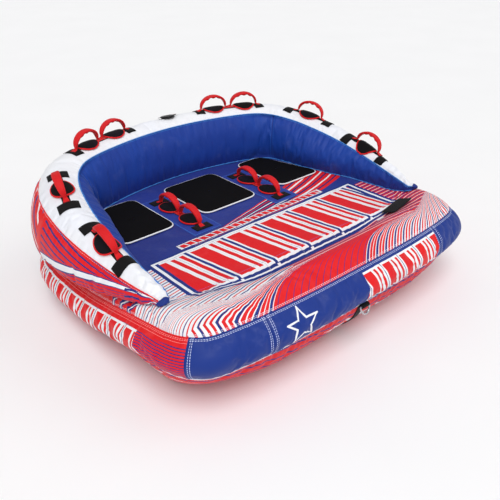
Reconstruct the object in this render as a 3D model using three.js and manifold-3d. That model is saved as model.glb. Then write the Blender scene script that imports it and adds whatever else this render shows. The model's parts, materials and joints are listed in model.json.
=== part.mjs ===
// Three-rider towable tube with a wrap-round backrest: sewn cover panels over air bladders,
// seat pads, webbing handles with foam grips and knuckle guards, valves, cover zip and tow point.
// Millimetres, +Z up, +Y to the stern, the bow points to -Y; "right" in names is the +X side.
// Pieces are built with z = 0 on the deck. The finished group is moved so that its origin is
// the middle of the footprint on the floor.
import * as THREE from 'three';
import { mergeVertices } from 'three/addons/utils/BufferGeometryUtils.js';
import Module from 'manifold-3d';

const wasm = await Module();
wasm.setup();

// ---------- driving dimensions ----------
const DECK_Z = 440;            // deck surface above the floor
const CENTRE_Y = 306.9;        // shift that puts the middle of the length on Y = 0
const BASE_STATIONS = 56;
const REST_STATIONS = 38;
const COVER_T = 2;             // cover fabric with its backing
const BLADDER_T = 1.6;         // bladder wall
const BASE_GAP = 11;           // cover skin to bladder skin, base
const REST_GAP = 8;            // the same, backrest
const SEAM_GAP = 0.8;          // each panel stops this short of a seam
const DECK_GAP = 1.5;          // the same, top ring at the deck edge
const BAND_DROP = 195;         // height of the side band between its two seams
const BAND_BULGE = 62;         // how far the band swells out

// Side seam at the top of the side band, bow centre to stern centre: x, y, z above the deck
const SEAM = [
  [0, -1172, 12], [300, -1170, 12], [550, -1158, 10], [720, -1137, 6], [845, -1104, 0],
  [912, -1040, -6], [944, -950, -18], [955, -820, -36], [957, -650, -68], [957, -465, -106],
  [957, -265, -138], [955, -50, -150], [948, 100, -150], [926, 225, -150], [862, 350, -150],
  [755, 455, -150], [600, 530, -150], [450, 565, -150], [300, 565, -150], [150, 565, -150],
  [0, 565, -150],
];
// Outline of the flat deck panel at the same stations: x, y
const CORE = [
  [0, -824], [280, -821.5], [500, -817], [640, -812], [730, -800], [790, -775], [820, -730],
  [830, -650], [830, -560], [820, -420], [800, -240], [770, -60], [745, 70], [710, 190],
  [650, 270], [560, 330], [450, 370], [360, 385], [260, 398], [130, 408], [0, 410],
];
// Inner rim seam of the backrest, stern centre to arm tip: x, y, z
const RIM = [
  [0, 392, 302], [200, 378, 302], [380, 345, 300], [520, 305, 298], [620, 262, 294],
  [690, 200, 286], [735, 135, 273], [775, 45, 256], [805, -65, 234], [830, -190, 208],
  [845, -330, 177], [849, -470, 144], [846, -610, 110], [841, -720, 84], [842, -790, 65],
  [855, -835, 45],
];
// Height over the bow, by share of the way from the seam (0) to the deck edge (1)
const BOW_SHARE = [0, .06, .15, .27, .40, .53, .65, .76, .87, 1];
const BOW_Z = [12, 36, 60, 73, 68, 44, 2, -45, -50, 0];

// ---------- finishes ----------
const RED = 0xe3202a;
const BLUE = 0x1d3f9b;
const WHITE = 0xf4f4f6;
const BLACK = 0x0b0b0d;
const FINISH = {
  redCover: { color: RED, roughness: .6 },
  blueCover: { color: BLUE, roughness: .6 },
  redTop: { color: RED, roughness: .62 },
  blueDeck: { color: BLUE, roughness: .62 },
  whiteRim: { color: WHITE, roughness: .55 },
  handlePatch: { color: 0x2448a8, roughness: .65 },
  webbing: { color: BLACK, roughness: .8 },
  guard: { color: BLACK, roughness: .85 },
  grip: { color: RED, roughness: .7 },
  seatPad: { color: BLACK, roughness: .9 },
  valveBody: { color: BLACK, roughness: .45 },
  valveCap: { color: 0x15161a, roughness: .4 },
  valveLid: { color: BLACK, roughness: .4 },
  label: { color: WHITE, roughness: .6 },
  bladder: { color: 0x9aa0a6, roughness: .35 },
  zipTape: { color: BLACK, roughness: .6 },
  zipSlider: { color: 0x2a2b2e, roughness: .35, metalness: .6 },
  metalRing: { color: 0xb8bcc0, roughness: .25, metalness: .9 },
};

// ---------- numbers and vectors ----------
const lerp = (from, to, share) => from + (to - from) * share;
const clamp = (x, low, high) => Math.min(Math.max(x, low), high);
function smooth(from, to, x) {
  const t = clamp((x - from) / (to - from), 0, 1);
  return t * t * (3 - 2 * t);
}
function interp(x, xs, values) {
  if (x <= xs[0]) return values[0];
  const i = xs.findIndex(limit => x <= limit);
  if (i < 0) return values[values.length - 1];
  return lerp(values[i - 1], values[i], (x - xs[i - 1]) / (xs[i] - xs[i - 1]));
}
const sub = (to, from) => to.map((v, i) => v - from[i]);
const add = (point, move, times = 1) => point.map((v, i) => v + move[i] * times);
const mix = (from, to, share) => from.map((v, i) => lerp(v, to[i], share));
const cross = ([ax, ay, az], [bx, by, bz]) =>
  [ay * bz - az * by, az * bx - ax * bz, ax * by - ay * bx];
function unit(vector) {
  const length = Math.hypot(...vector) || 1;
  return vector.map(v => v / length);
}
const centroid = points =>
  points.reduce((sum, point) => add(sum, point)).map(v => v / points.length);

// Catmull-Rom curve through the points, t from 0 to 1
function spline(points, t, closed) {
  const n = points.length;
  const place = t * (closed ? n : n - 1);
  const i = closed ? Math.floor(place) : Math.min(Math.floor(place), n - 2);
  const w = place - i;
  const knot = k => {
    if (closed) return points[(k + n) % n];
    if (k < 0) return points[0].map((v, j) => 2 * v - points[1][j]);
    if (k >= n) return points[n - 1].map((v, j) => 2 * v - points[n - 2][j]);
    return points[k];
  };
  const [p0, p1, p2, p3] = [i - 1, i, i + 1, i + 2].map(knot);
  return p1.map((v, j) => 0.5 * (2 * v + (p2[j] - p0[j]) * w
    + (2 * p0[j] - 5 * v + 4 * p2[j] - p3[j]) * w * w
    + (-p0[j] + 3 * v - 3 * p2[j] + p3[j]) * w * w * w));
}
// n points at equal plan distances along the curve
function resample(points, n, closed) {
  const steps = 2000;
  const dense = [];
  for (let i = 0; i <= steps; i++) {
    dense.push(spline(points, (closed ? i % steps : i) / steps, closed));
  }
  const run = [0];
  for (let i = 1; i <= steps; i++) {
    const [x, y] = sub(dense[i], dense[i - 1]);
    run.push(run[i - 1] + Math.hypot(x, y));
  }
  const length = run[steps];
  const result = [];
  let k = 0;
  for (let i = 0; i < n; i++) {
    const target = length * i / (closed ? n : n - 1);
    while (k < steps - 1 && run[k + 1] < target) k++;
    const share = clamp((target - run[k]) / (run[k + 1] - run[k]), 0, 1);
    result.push(mix(dense[k], dense[k + 1], share));
  }
  return { points: result, length };
}
const mirror = point => [-point[0], ...point.slice(1)];

// ---------- closed meshes ----------
// neighbouring index pairs along a row of n
const pairs = (n, closed = false) =>
  Array.from({ length: closed ? n : n - 1 }, (_, i) => [i, (i + 1) % n]);

class Mesher {
  constructor() {
    this.points = [];
    this.faces = [];
  }
  add(point) {
    this.points.push(point);
    return this.points.length - 1;
  }
  row(points) {
    return points.map(point => this.add(point));
  }
  grid(rows) {
    return rows.map(points => this.row(points));
  }
  quad(a, b, c, d) {
    this.faces.push([a, b, c], [a, c, d]);
  }
  // the quads of a grid
  skin(ids, closedRows, closedColumns, reversed = false) {
    for (const [i, k] of pairs(ids.length, closedRows)) {
      for (const [j, l] of pairs(ids[0].length, closedColumns)) {
        if (reversed) this.quad(ids[i][j], ids[i][l], ids[k][l], ids[k][j]);
        else this.quad(ids[i][j], ids[k][j], ids[k][l], ids[i][l]);
      }
    }
  }
  // quads between two closed rings
  wall(from, to, reversed = false) {
    for (const [i, k] of pairs(from.length, true)) {
      if (reversed) this.quad(from[k], from[i], to[i], to[k]);
      else this.quad(from[i], from[k], to[k], to[i]);
    }
  }
  // triangles from a ring to its centroid
  fan(ring, reversed = false) {
    const centre = this.add(centroid(ring.map(id => this.points[id])));
    for (const [i, k] of pairs(ring.length, true)) {
      this.faces.push(reversed ? [centre, ring[k], ring[i]] : [ring[i], ring[k], centre]);
    }
  }
  // strips across a left-right symmetric ring that starts on the centre line
  fill(ring, upward) {
    const n = ring.length;
    for (let i = 0; i < n / 2; i++) {
      const strip = [ring[i], ring[i + 1], ring[(n - i - 1) % n], ring[(n - i) % n]];
      if (i === 0) strip.splice(3, 1);
      else if (i === n / 2 - 1) strip.splice(2, 1);
      if (!upward) strip.reverse();
      if (strip.length === 3) this.faces.push(strip);
      else this.quad(...strip);
    }
  }
  geometry() {
    const geometry = new THREE.BufferGeometry();
    const positions = new THREE.Float32BufferAttribute(this.points.flat(), 3);
    geometry.setAttribute('position', positions);
    geometry.setIndex(this.faces.flat());
    return orient(clean(geometry));
  }
}
// position-only geometry with shared vertices and no collapsed triangles
function clean(source) {
  for (const name of ['normal', 'uv']) {
    if (source.getAttribute(name)) source.deleteAttribute(name);
  }
  const geometry = mergeVertices(source, 1e-3);
  const index = geometry.index.array;
  const kept = [];
  for (let i = 0; i < index.length; i += 3) {
    const [a, b, c] = [index[i], index[i + 1], index[i + 2]];
    if (a !== b && b !== c && a !== c) kept.push(a, b, c);
  }
  geometry.setIndex(kept);
  return geometry;
}
function volume(geometry) {
  const positions = geometry.getAttribute('position').array;
  const index = geometry.index.array;
  const corner = i => positions.slice(3 * index[i], 3 * index[i] + 3);
  let sum = 0;
  for (let i = 0; i < index.length; i += 3) {
    const [ax, ay, az] = corner(i);
    const [nx, ny, nz] = cross(corner(i + 1), corner(i + 2));
    sum += (ax * nx + ay * ny + az * nz) / 6;
  }
  return sum;
}
// turn an inside-out mesh the right way round
function orient(geometry) {
  if (volume(geometry) < 0) {
    const index = Array.from(geometry.index.array);
    for (let i = 0; i < index.length; i += 3) {
      [index[i], index[i + 1]] = [index[i + 1], index[i]];
    }
    geometry.setIndex(index);
  }
  return geometry;
}
function toSolid(source) {
  const geometry = orient(clean(source));
  return new wasm.Manifold(new wasm.Mesh({
    numProp: 3,
    vertProperties: new Float32Array(geometry.getAttribute('position').array),
    triVerts: new Uint32Array(geometry.index.array),
  }));
}
function fromSolid(solid) {
  const mesh = solid.getMesh();
  const geometry = new THREE.BufferGeometry();
  const positions = new THREE.BufferAttribute(new Float32Array(mesh.vertProperties), 3);
  geometry.setAttribute('position', positions);
  geometry.setIndex(Array.from(mesh.triVerts));
  return geometry;
}
const union = (...shapes) => fromSolid(shapes.map(toSolid).reduce((a, b) => a.add(b)));
const cut = (...shapes) => fromSolid(shapes.map(toSolid).reduce((a, b) => a.subtract(b)));

// sheet between an outer and an inner grid, stitched round its border
function sheet(outer, inner, closed = false) {
  const mesher = new Mesher();
  const a = mesher.grid(outer);
  const b = mesher.grid(inner);
  const rows = pairs(a.length, closed);
  const columns = pairs(a[0].length);
  const end = columns.length;
  for (const [i, k] of rows) {
    for (const [j, l] of columns) {
      mesher.quad(a[i][j], a[k][j], a[k][l], a[i][l]);
      mesher.quad(b[i][j], b[i][l], b[k][l], b[k][j]);
    }
  }
  for (const [i, k] of rows) {
    mesher.quad(a[k][0], a[i][0], b[i][0], b[k][0]);
    mesher.quad(a[i][end], a[k][end], b[k][end], b[i][end]);
  }
  if (!closed) {
    const last = a.length - 1;
    for (const [j, l] of columns) {
      mesher.quad(a[0][j], a[0][l], b[0][l], b[0][j]);
      mesher.quad(a[last][l], a[last][j], b[last][j], b[last][l]);
    }
  }
  return mesher.geometry();
}
// closed sections joined in order, with flat ends or joined into a ring
function loft(sections, ring = false) {
  const mesher = new Mesher();
  const ids = mesher.grid(sections);
  mesher.skin(ids, ring, true);
  if (!ring) {
    mesher.fan(ids[0]);
    mesher.fan(ids[ids.length - 1], true);
  }
  return mesher.geometry();
}
// flat plate filling a symmetric loop
function plate(loop, bottomZ, topZ) {
  const mesher = new Mesher();
  const [low, high] = [bottomZ, topZ].map(z => mesher.row(loop.map(([x, y]) => [x, y, z])));
  mesher.wall(low, high);
  mesher.fill(high, true);
  mesher.fill(low, false);
  return mesher.geometry();
}

// ---------- grids ----------
const toward = (from, to, distance) => add(from, unit(sub(to, from)), distance);
// columns first..last of a grid, with the border columns drawn in
function inset(grid, first, last, firstGap, lastGap) {
  return grid.map(points => {
    const row = points.slice(first, last + 1);
    const end = row.length - 1;
    row[0] = toward(row[0], row[1], firstGap);
    row[end] = toward(row[end], row[end - 1], lastGap);
    return row;
  });
}
// the same for the first and last rows
function insetEnds(grid) {
  const rows = grid.slice();
  const end = rows.length - 1;
  rows[0] = grid[0].map((point, j) => toward(point, grid[1][j], SEAM_GAP));
  rows[end] = grid[end].map((point, j) => toward(point, grid[end - 1][j], SEAM_GAP));
  return rows;
}
// sewn panel over some columns of a skin, clear of all its seams
function panel(outer, inner, first, last) {
  const [a, b] = [outer, inner].map(grid =>
    insetEnds(inset(grid, first, last, SEAM_GAP, SEAM_GAP)));
  return sheet(a, b);
}
// outward normals of a grid that runs from +X round the stern, each row going outwards
function normals(grid, closed) {
  const n = grid.length;
  return grid.map((row, i) => {
    const before = grid[closed ? (i + n - 1) % n : Math.max(i - 1, 0)];
    const after = grid[closed ? (i + 1) % n : Math.min(i + 1, n - 1)];
    return row.map((point, j) => {
      const along = sub(after[j], before[j]);
      const side = (from, to) => unit(cross(sub(to, from), along));
      let sum = [0, 0, 0];
      if (j > 0) sum = add(sum, side(row[j - 1], point));
      if (j < row.length - 1) sum = add(sum, side(point, row[j + 1]));
      return unit(sum);
    });
  });
}
const sink = (grid, gridNormals, depth) =>
  grid.map((row, i) => row.map((point, j) => add(point, gridNormals[i][j], -depth)));

// ---------- parts and joints ----------
const parts = [];
const joints = [];
function put(name, source, finish) {
  const geometry = clean(source);
  geometry.computeVertexNormals();
  const material = new THREE.MeshStandardMaterial({ metalness: 0, ...finish });
  const mesh = new THREE.Mesh(geometry, material);
  mesh.name = name;
  parts.push(mesh);
}
function hinge(child, motion, pos, axis, range) {
  joints.push({ name: `${child}_${motion}`, type: 'hinge', child, pos, axis, range });
}

// ---------- base shape ----------
// n stations round the base from the bow centre towards +X: seam, deck edge, outward direction
function outline(n) {
  const [seamLoop, coreLoop] = [SEAM, CORE].map(half =>
    [...half, ...half.slice(1, -1).reverse().map(mirror)]);
  const { points } = resample(seamLoop.map((p, i) => [...p, ...coreLoop[i]]), n, true);
  return points.map((point, i) => {
    const [dx, dy] = sub(points[(i + 1) % n], points[(i + n - 1) % n]);
    return { seam: point.slice(0, 3), core: point.slice(3, 5), out: unit([dy, -dx]) };
  });
}
const baseOutline = outline(BASE_STATIONS);
const fineOutline = outline(360);

// height of the top ring, by share of the way from the seam (0) to the deck edge (1)
function ringZ([seamX, y, seamZ], share) {
  const x = Math.abs(seamX);
  const front = interp(share, BOW_SHARE, BOW_Z);
  const corner = seamZ * (1 - smooth(0, 1, share))
    + 45 * Math.sin(Math.PI * Math.pow(share, .8));
  const side = seamZ * (1 - Math.sqrt(clamp(1 - (1 - share) ** 2, 0, 1)));
  const frontWeight = y < -900 ? 1 - smooth(300, 840, x) : 0;
  const cornerWeight = smooth(-550, -1000, y);
  return lerp(lerp(side, corner, cornerWeight), front, frontWeight);
}
// point of the side band, by share of the way from its top seam (0) to its lower seam (1)
function bandPoint({ seam, out }, share) {
  const lean = lerp(8, 26, smooth(-600, -1100, seam[1]));
  const swell = BAND_BULGE * Math.pow(Math.max(Math.sin(Math.PI * share), 0), .9)
    + lean * share;
  return [seam[0] + out[0] * swell, seam[1] + out[1] * swell, seam[2] - BAND_DROP * share];
}
// point of the hull, from the lower seam (0) to the flat underside (1)
function hullPoint(station, share) {
  const [x, y, z] = bandPoint(station, 1);
  const bowWeight = smooth(-850, -1100, station.seam[1])
    * (1 - smooth(450, 950, Math.abs(station.seam[0])));
  const bow = 16 * (x / 700) ** 2;
  const inward = 1 - Math.cos(share * Math.PI / 2);
  const height = lerp(Math.pow(1 - inward, 2.4),
    1 - Math.sqrt(clamp(1 - Math.pow(1 - inward, 2.3), 0, 1)), bowWeight);
  return [
    lerp(x, x * .76, inward),
    lerp(y, clamp(y * .72, -660 + bow, 400 - bow), inward),
    -DECK_Z + (z + DECK_Z) * height,
  ];
}
const TOP_SHARES = [1, .87, .70, .50, .28, .12, 0];
const BAND_SHARES = [.28, .55, .80, 1];
const HULL_SHARES = [.25, .5, .75, 1];
// columns of the top seam, the lower seam and the underside edge
const TOP_SEAM = TOP_SHARES.length - 1;
const LOW_SEAM = TOP_SEAM + BAND_SHARES.length;
const FLOOR = LOW_SEAM + HULL_SHARES.length;
const baseSkin = baseOutline.map(station => {
  const { seam, core } = station;
  return [
    ...TOP_SHARES.map(share => [...mix(seam.slice(0, 2), core, share), ringZ(seam, share)]),
    ...BAND_SHARES.map(share => bandPoint(station, share)),
    ...HULL_SHARES.map(share => hullPoint(station, share)),
  ];
});
const baseNormals = normals(baseSkin, true)
  .map(row => [[0, 0, 1], ...row.slice(1, -1), [0, 0, -1]]);
const baseInside = sink(baseSkin, baseNormals, COVER_T);

// height of the base's top at a plan point, by its place between the seam and the deck edge
function topHeight(x, y) {
  let nearest = 1e9;
  let height = 0;
  for (const { seam, core } of fineOutline) {
    const dx = core[0] - seam[0];
    const dy = core[1] - seam[1];
    const share = ((x - seam[0]) * dx + (y - seam[1]) * dy) / (dx * dx + dy * dy);
    const onLine = clamp(share, 0, 1);
    const distance = Math.hypot(x - seam[0] - dx * onLine, y - seam[1] - dy * onLine);
    if (distance < nearest) {
      nearest = distance;
      height = share >= 1 ? 0 : ringZ(seam, onLine);
    }
  }
  return height;
}
function topNormal(x, y) {
  const reach = 40;
  const slopeX = (topHeight(x + reach, y) - topHeight(x - reach, y)) / (2 * reach);
  const slopeY = (topHeight(x, y + reach) - topHeight(x, y - reach)) / (2 * reach);
  return unit([-slopeX, -slopeY, 1]);
}

// ---------- backrest shape ----------
const RIM_STEPS = 720;
const rim = resample([...RIM.slice().reverse(), ...RIM.slice(1).map(mirror)],
  RIM_STEPS + 1, false);
const RIM_HALF = rim.length / 2;
const REST_HALF = RIM_HALF * .9995;     // the end stations stop just short of the arm tips

// Place on the rim seam, by distance from the stern centre (positive towards +X);
// share runs from 0 at the stern centre to 1 at an arm tip
function rimAt(distance) {
  const place = clamp((RIM_HALF - distance) / rim.length * RIM_STEPS, 0, RIM_STEPS);
  const i = Math.min(Math.floor(place), RIM_STEPS - 1);
  const point = mix(rim.points[i], rim.points[i + 1], place - i);
  const before = rim.points[Math.max(i - 6, 0)];
  const after = rim.points[Math.min(i + 7, RIM_STEPS)];
  const [dx, dy] = unit(sub(after, before).slice(0, 2));
  const share = Math.min(1, Math.abs(distance) / RIM_HALF);
  return { point, share, out: [dy, -dx], along: [-dx, -dy] };
}
function planAt(distance, outward) {
  const { point, out } = rimAt(distance);
  return [point[0] + out[0] * outward, point[1] + out[1] * outward];
}
const lift = (distance, [outward, z]) => [...planAt(distance, outward), z];

// Section sizes by share of the half length
const REST_SHARES = [0, .25, .40, .50, .565, .65, .73, .81, .92, 1];
const REST_WIDTH = [245, 250, 268, 262, 248, 220, 188, 152, 105, 60];
const OUTER_FOOT = [150, 150, 125, 115, 110, 85, 75, 75, 70, 50];
const INNER_SHARES = [0, .3, .4, .48, .565, .69, .765, .845, .92, 1];
const INNER_FOOT = [-57, -52, -50, -85, -105, -90, -58, -38, -13, 0];
const OUTER_SHARES = [0, .4, .565, .73, .81, .92, 1];
const OUTER_Z = [-105, -105, -100, -75, -50, -10, 0];
const RISE_SHARES = [0, .5, .9, 1];
const CREST_RISE = [34, 34, 28, 12];
const ARM_SHARE = .55;                  // from here on the section keeps clear of the base
// per section point: clearance over the base top, and extra lift near the arm tips
const CLEARANCE = [3, 12, 16, 0, 0, 0, 0, 22, 18, 14, 10, 7];
const TIP_LIFT = [0, 0, 0, 0, 0, 0, 0, 4, 7, 5, 0, 0];

// section as [outward, z] points from the inner foot over the rim to the outer foot
function restSection(distance) {
  const { point: [x, y, z], share } = rimAt(distance);
  const onArm = share >= ARM_SHARE;
  const seamZ = onArm ? Math.max(z, topHeight(x, y) + 27) : z;
  const width = interp(share, REST_SHARES, REST_WIDTH);
  const inner = interp(share, INNER_SHARES, INNER_FOOT);
  const outer = interp(share, REST_SHARES, OUTER_FOOT);
  const outerZ = interp(share, OUTER_SHARES, OUTER_Z);
  const rise = interp(share, RISE_SHARES, CREST_RISE);
  const footZ = topHeight(...planAt(distance, outer)) + 7;
  const tipLift = smooth(.78, .95, share) * 5;
  const foldLift = smooth(.93, 1, share);
  const raw = [
    [inner, 4],
    [inner * 1.08 + 4, 4 + (seamZ - 4) * .33],
    [inner * .7, 4 + (seamZ - 4) * .68],
    [0, seamZ],
    [width * .13, seamZ + rise * .72],
    [width * .34, seamZ + rise],
    [width * .56, seamZ + rise * .45],
    [width * .78, seamZ * .95 - 26 * Math.min(1, width / 150)],
    [width * .94, seamZ * .62 + outerZ * .38],
    [width * .99, seamZ * .32 + outerZ * .68],
    [width * .90, seamZ * .08 + outerZ * .92],
    [outer, Math.max(footZ, outerZ)],
  ];
  const points = raw.map(([outward, height], i) => {
    if (!onArm || (i > 2 && i < 7)) return [outward, height];
    const clearance = CLEARANCE[i] * (i < 3 || width > 100 ? 1 : .8);
    const floor = topHeight(...planAt(distance, outward)) + clearance + tipLift;
    return [outward, Math.max(height, floor) + foldLift * TIP_LIFT[i]];
  });
  return { width, points };
}
const restStations = Array.from({ length: REST_STATIONS }, (_, i) =>
  REST_HALF * (1 - 2 * i / (REST_STATIONS - 1)));
const restSections = restStations.map(distance => restSection(distance).points);

// point of the rim panel, on the facets between two stations
function rimPoint(distance, outward) {
  const step = 2 * REST_HALF / (REST_STATIONS - 1);
  const place = clamp((REST_HALF - distance) / step, 0, REST_STATIONS - 1.001);
  const i = Math.floor(place);
  const [from, to] = [i, i + 1].map(k => {
    const top = restSections[k].slice(3, 9);
    const z = interp(outward, top.map(p => p[0]), top.map(p => p[1]));
    return lift(restStations[k], [outward, z]);
  });
  return mix(from, to, place - i);
}

// ---------- surfaces that carry handles: at(along, across) and normal(along, across) ----------
function rimSurface(distance, outward) {
  const at = (along, across) => rimPoint(distance + along, outward + across);
  const normal = (along, across) => unit(cross(
    sub(at(along + 8, across), at(along - 8, across)),
    sub(at(along, across + 8), at(along, across - 8))));
  return { at, normal };
}
const deckSurface = (x, y) => ({
  at: (along, across) => [x + across, y + along, 0],
  normal: () => [0, 0, 1],
});
const above = (surface, along, across, height) =>
  add(surface.at(along, across), surface.normal(along, across), height);

// rectangle laid on a surface
function patch(surface, { along, across, height, steps: [alongSteps, acrossSteps] }) {
  const layer = h => Array.from({ length: alongSteps + 1 }, (_, i) =>
    Array.from({ length: acrossSteps + 1 }, (_, j) => above(surface,
      lerp(...along, i / alongSteps), lerp(...across, j / acrossSteps), h)));
  return sheet(layer(height[1]), layer(height[0]));
}
// oval laid on a surface, its upper edge bevelled
function oval(surface, centre, { halfLength, halfWidth, bevel }, bottom, top) {
  const n = 14;
  const mesher = new Mesher();
  const ring = (height, scale) => mesher.row(Array.from({ length: n }, (_, i) => {
    const angle = 2 * Math.PI * i / n;
    return above(surface, centre + halfLength * scale * Math.cos(angle),
      halfWidth * scale * Math.sin(angle), height);
  }));
  const [edge, shoulder, crown] = [ring(top - bevel, 1), ring(top, .9), ring(top, .45)];
  const [under, underInner] = [ring(bottom, 1), ring(bottom, .5)];
  const topCentre = mesher.add(above(surface, centre, 0, top));
  const lowCentre = mesher.add(above(surface, centre, 0, bottom));
  mesher.wall(under, edge);
  mesher.wall(edge, shoulder);
  mesher.wall(shoulder, crown);
  mesher.wall(underInner, under);
  for (const [i, k] of pairs(n, true)) {
    mesher.faces.push([crown[i], crown[k], topCentre]);
    mesher.faces.push([underInner[k], underInner[i], lowCentre]);
  }
  return mesher.geometry();
}

// ---------- base cover ----------
function deckPanel() {
  const inward = 4;
  const loop = baseSkin.map(([[x, y]]) => {
    const radius = Math.hypot(x, y + 200);
    return [x - x / radius * inward, y - (y + 200) / radius * inward];
  });
  return plate(loop, -COVER_T, 0);
}
// side band between two stations; negative ones lie on the -X side of the bow centre
function bandPanel(from, to) {
  const indices = [];
  for (let i = from; i <= to; i++) indices.push((i + BASE_STATIONS) % BASE_STATIONS);
  const [outer, inner] = [baseSkin, baseInside].map(grid => indices.map(i => grid[i]));
  return panel(outer, inner, TOP_SEAM, LOW_SEAM);
}
// lower side panel with the flat underside, open at its top edge
function hullPanel() {
  const mesher = new Mesher();
  const [outer, inner] = [baseSkin, baseInside].map(grid =>
    mesher.grid(inset(grid, LOW_SEAM, FLOOR, SEAM_GAP, 0)));
  mesher.skin(outer, true, false);
  mesher.skin(inner, true, false, true);
  mesher.wall(outer.map(row => row[0]), inner.map(row => row[0]), true);
  mesher.fill(outer.map(row => row.at(-1)), true);
  mesher.fill(inner.map(row => row.at(-1)), false);
  return mesher.geometry();
}
function topRing() {
  const [outer, inner] = [baseSkin, baseInside].map(grid =>
    inset(grid, 0, TOP_SEAM, DECK_GAP, SEAM_GAP));
  return sheet(outer, inner, true);
}
// stations of the band's upright seams on the +X side
const BOW_CUT = 5;
const CORNER_CUT = 8;
const STERN_CUT = 22;
put('deck_panel', deckPanel(), FINISH.blueDeck);
put('band_bow', bandPanel(-BOW_CUT, BOW_CUT), FINISH.blueCover);
put('band_corner_right', bandPanel(BOW_CUT, CORNER_CUT), FINISH.blueCover);
put('band_corner_left', bandPanel(-CORNER_CUT, -BOW_CUT), FINISH.blueCover);
put('band_right', bandPanel(CORNER_CUT, STERN_CUT), FINISH.redCover);
put('band_left', bandPanel(-STERN_CUT, -CORNER_CUT), FINISH.redCover);
put('band_stern', bandPanel(STERN_CUT, BASE_STATIONS - STERN_CUT), FINISH.blueCover);
put('hull_panel', hullPanel(), FINISH.redCover);

// ---------- handles ----------
const ARCH = { half: 86, rise: 74, axisZ: 17, width: 42, thick: 15, footWidth: 17, footThick: 8 };
const GUARD = { halfLength: 66, halfWidth: 54, thick: 10, bevel: 3 };
const GRIP_SWING = 38;         // degrees each way
const ARCH_OFFSET = 98;        // arches of a double handle, from its middle
// anchor: strap ends from the middle; lift: strap above the surface; guardLift: guard above
// that; the steps are subdivisions [along, across]
const HANDLE_KINDS = {
  rear: {
    arches: [-ARCH_OFFSET, ARCH_OFFSET], anchor: 205, lift: 3.2, guardLift: 6,
    anchorSteps: [2, 8], strapSteps: [10, 2], bridgeSteps: [6, 1],
  },
  deck: {
    arches: [-ARCH_OFFSET, ARCH_OFFSET], anchor: 205, lift: 3.2, guardLift: 3.3,
    anchorSteps: [1, 1], strapSteps: [1, 1], bridgeSteps: [1, 1],
  },
  arm: {
    arches: [0], anchor: 142, lift: 4.2, guardLift: 6,
    anchorSteps: [2, 8], strapSteps: [8, 2],
  },
};

// foam grip on a webbing arch standing on the surface
function gripArch(surface, along) {
  const foot = surface.at(along, 0);
  const tangent = unit(sub(surface.at(along + 60, 0), surface.at(along - 60, 0)));
  const side = unit(cross(surface.normal(along, 0), tangent));
  const up = unit(cross(tangent, side));
  const local = (x, y, z) => add(add(add(foot, tangent, x), side, y), up, z);
  const steps = 10;
  const sections = [];
  for (let i = 0; i <= steps; i++) {
    const cos = Math.cos(Math.PI * i / steps);
    const sin = Math.sin(Math.PI * i / steps);
    const fullness = Math.pow(sin, .6);
    const w = lerp(ARCH.footWidth, ARCH.width, fullness) / 2;
    const h = lerp(ARCH.footThick, ARCH.thick, fullness) / 2;
    const [dx, dz] = unit([cos / ARCH.half, sin / ARCH.rise]);
    const ring = [[-.62 * w, h], [.62 * w, h], [w, 0], [.62 * w, -h], [-.62 * w, -h], [-w, 0]];
    sections.push(ring.map(([across, out]) => local(
      ARCH.half * cos + dx * out, across, ARCH.axisZ + ARCH.rise * sin + dz * out)));
  }
  return { geometry: loft(sections), origin: local(0, 0, ARCH.axisZ), axis: tangent };
}
function handle(kindName, place, surface) {
  const name = `${kindName}_${place}`;
  const kind = HANDLE_KINDS[kindName];
  const { arches, anchor, lift: base } = kind;
  if (kindName === 'deck') {
    put(`patch_${name}`, patch(surface, {
      along: [-262, 262], across: [-92, 92], height: [.6, 2.4], steps: [1, 1],
    }), FINISH.handlePatch);
  }
  const anchorPatch = centre => patch(surface, {
    along: [centre - 30, centre + 30], across: [-54, 54],
    height: [base, base + 3], steps: kind.anchorSteps,
  });
  const strap = patch(surface, {
    along: [-anchor, anchor], across: [-20, 20],
    height: [base + .4, base + 2.4], steps: kind.strapSteps,
  });
  put(`webbing_${name}`, union(strap, anchorPatch(-anchor), anchorPatch(anchor)),
    FINISH.webbing);

  const guardZ = base + kind.guardLift;
  const lobes = arches.map(centre =>
    oval(surface, centre, GUARD, guardZ, guardZ + GUARD.thick));
  const double = arches.length === 2;
  const guard = double ? union(...lobes, patch(surface, {
    along: [-45, 45], across: [-11, 11],
    height: [guardZ + .6, guardZ + 5], steps: kind.bridgeSteps,
  })) : lobes[0];
  put(`knuckle_guard_${name}`, guard, FINISH.guard);

  arches.forEach((centre, i) => {
    const grip = gripArch(surface, centre);
    const gripName = double ? `grip_${name}_${i + 1}` : `grip_${name}`;
    put(gripName, grip.geometry, FINISH.grip);
    hinge(gripName, 'swing', grip.origin, grip.axis, [-GRIP_SWING, GRIP_SWING]);
  });
}
// distance along the +X arm at which the rim seam is nearest to a given y
function armDistance(y) {
  let best = 0;
  let nearest = 1e9;
  for (let distance = 400; distance < RIM_HALF; distance += 2) {
    const miss = Math.abs(rimAt(distance).point[1] - y);
    if (miss < nearest) {
      nearest = miss;
      best = distance;
    }
  }
  return best;
}
const CREST = .36;             // crest of the rim, as a share of the section width
const crestAt = distance => restSection(distance).width * CREST;
handle('rear', 'left', rimSurface(-425, 84));
handle('rear', 'right', rimSurface(470, 84));
handle('deck', 'left', deckSurface(-290, -112));
handle('deck', 'right', deckSurface(290, -112));
for (const [place, y] of [['rear', 5], ['front', -440]]) {
  const distance = armDistance(y);
  handle('arm', `left_${place}`, rimSurface(-distance, crestAt(distance)));
  handle('arm', `right_${place}`, rimSurface(distance, crestAt(distance)));
}

// ---------- seat pads ----------
const PAD = { halfWidth: 190, halfDepth: 218, thick: 12, pitch: 580, radius: 52 };

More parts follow.
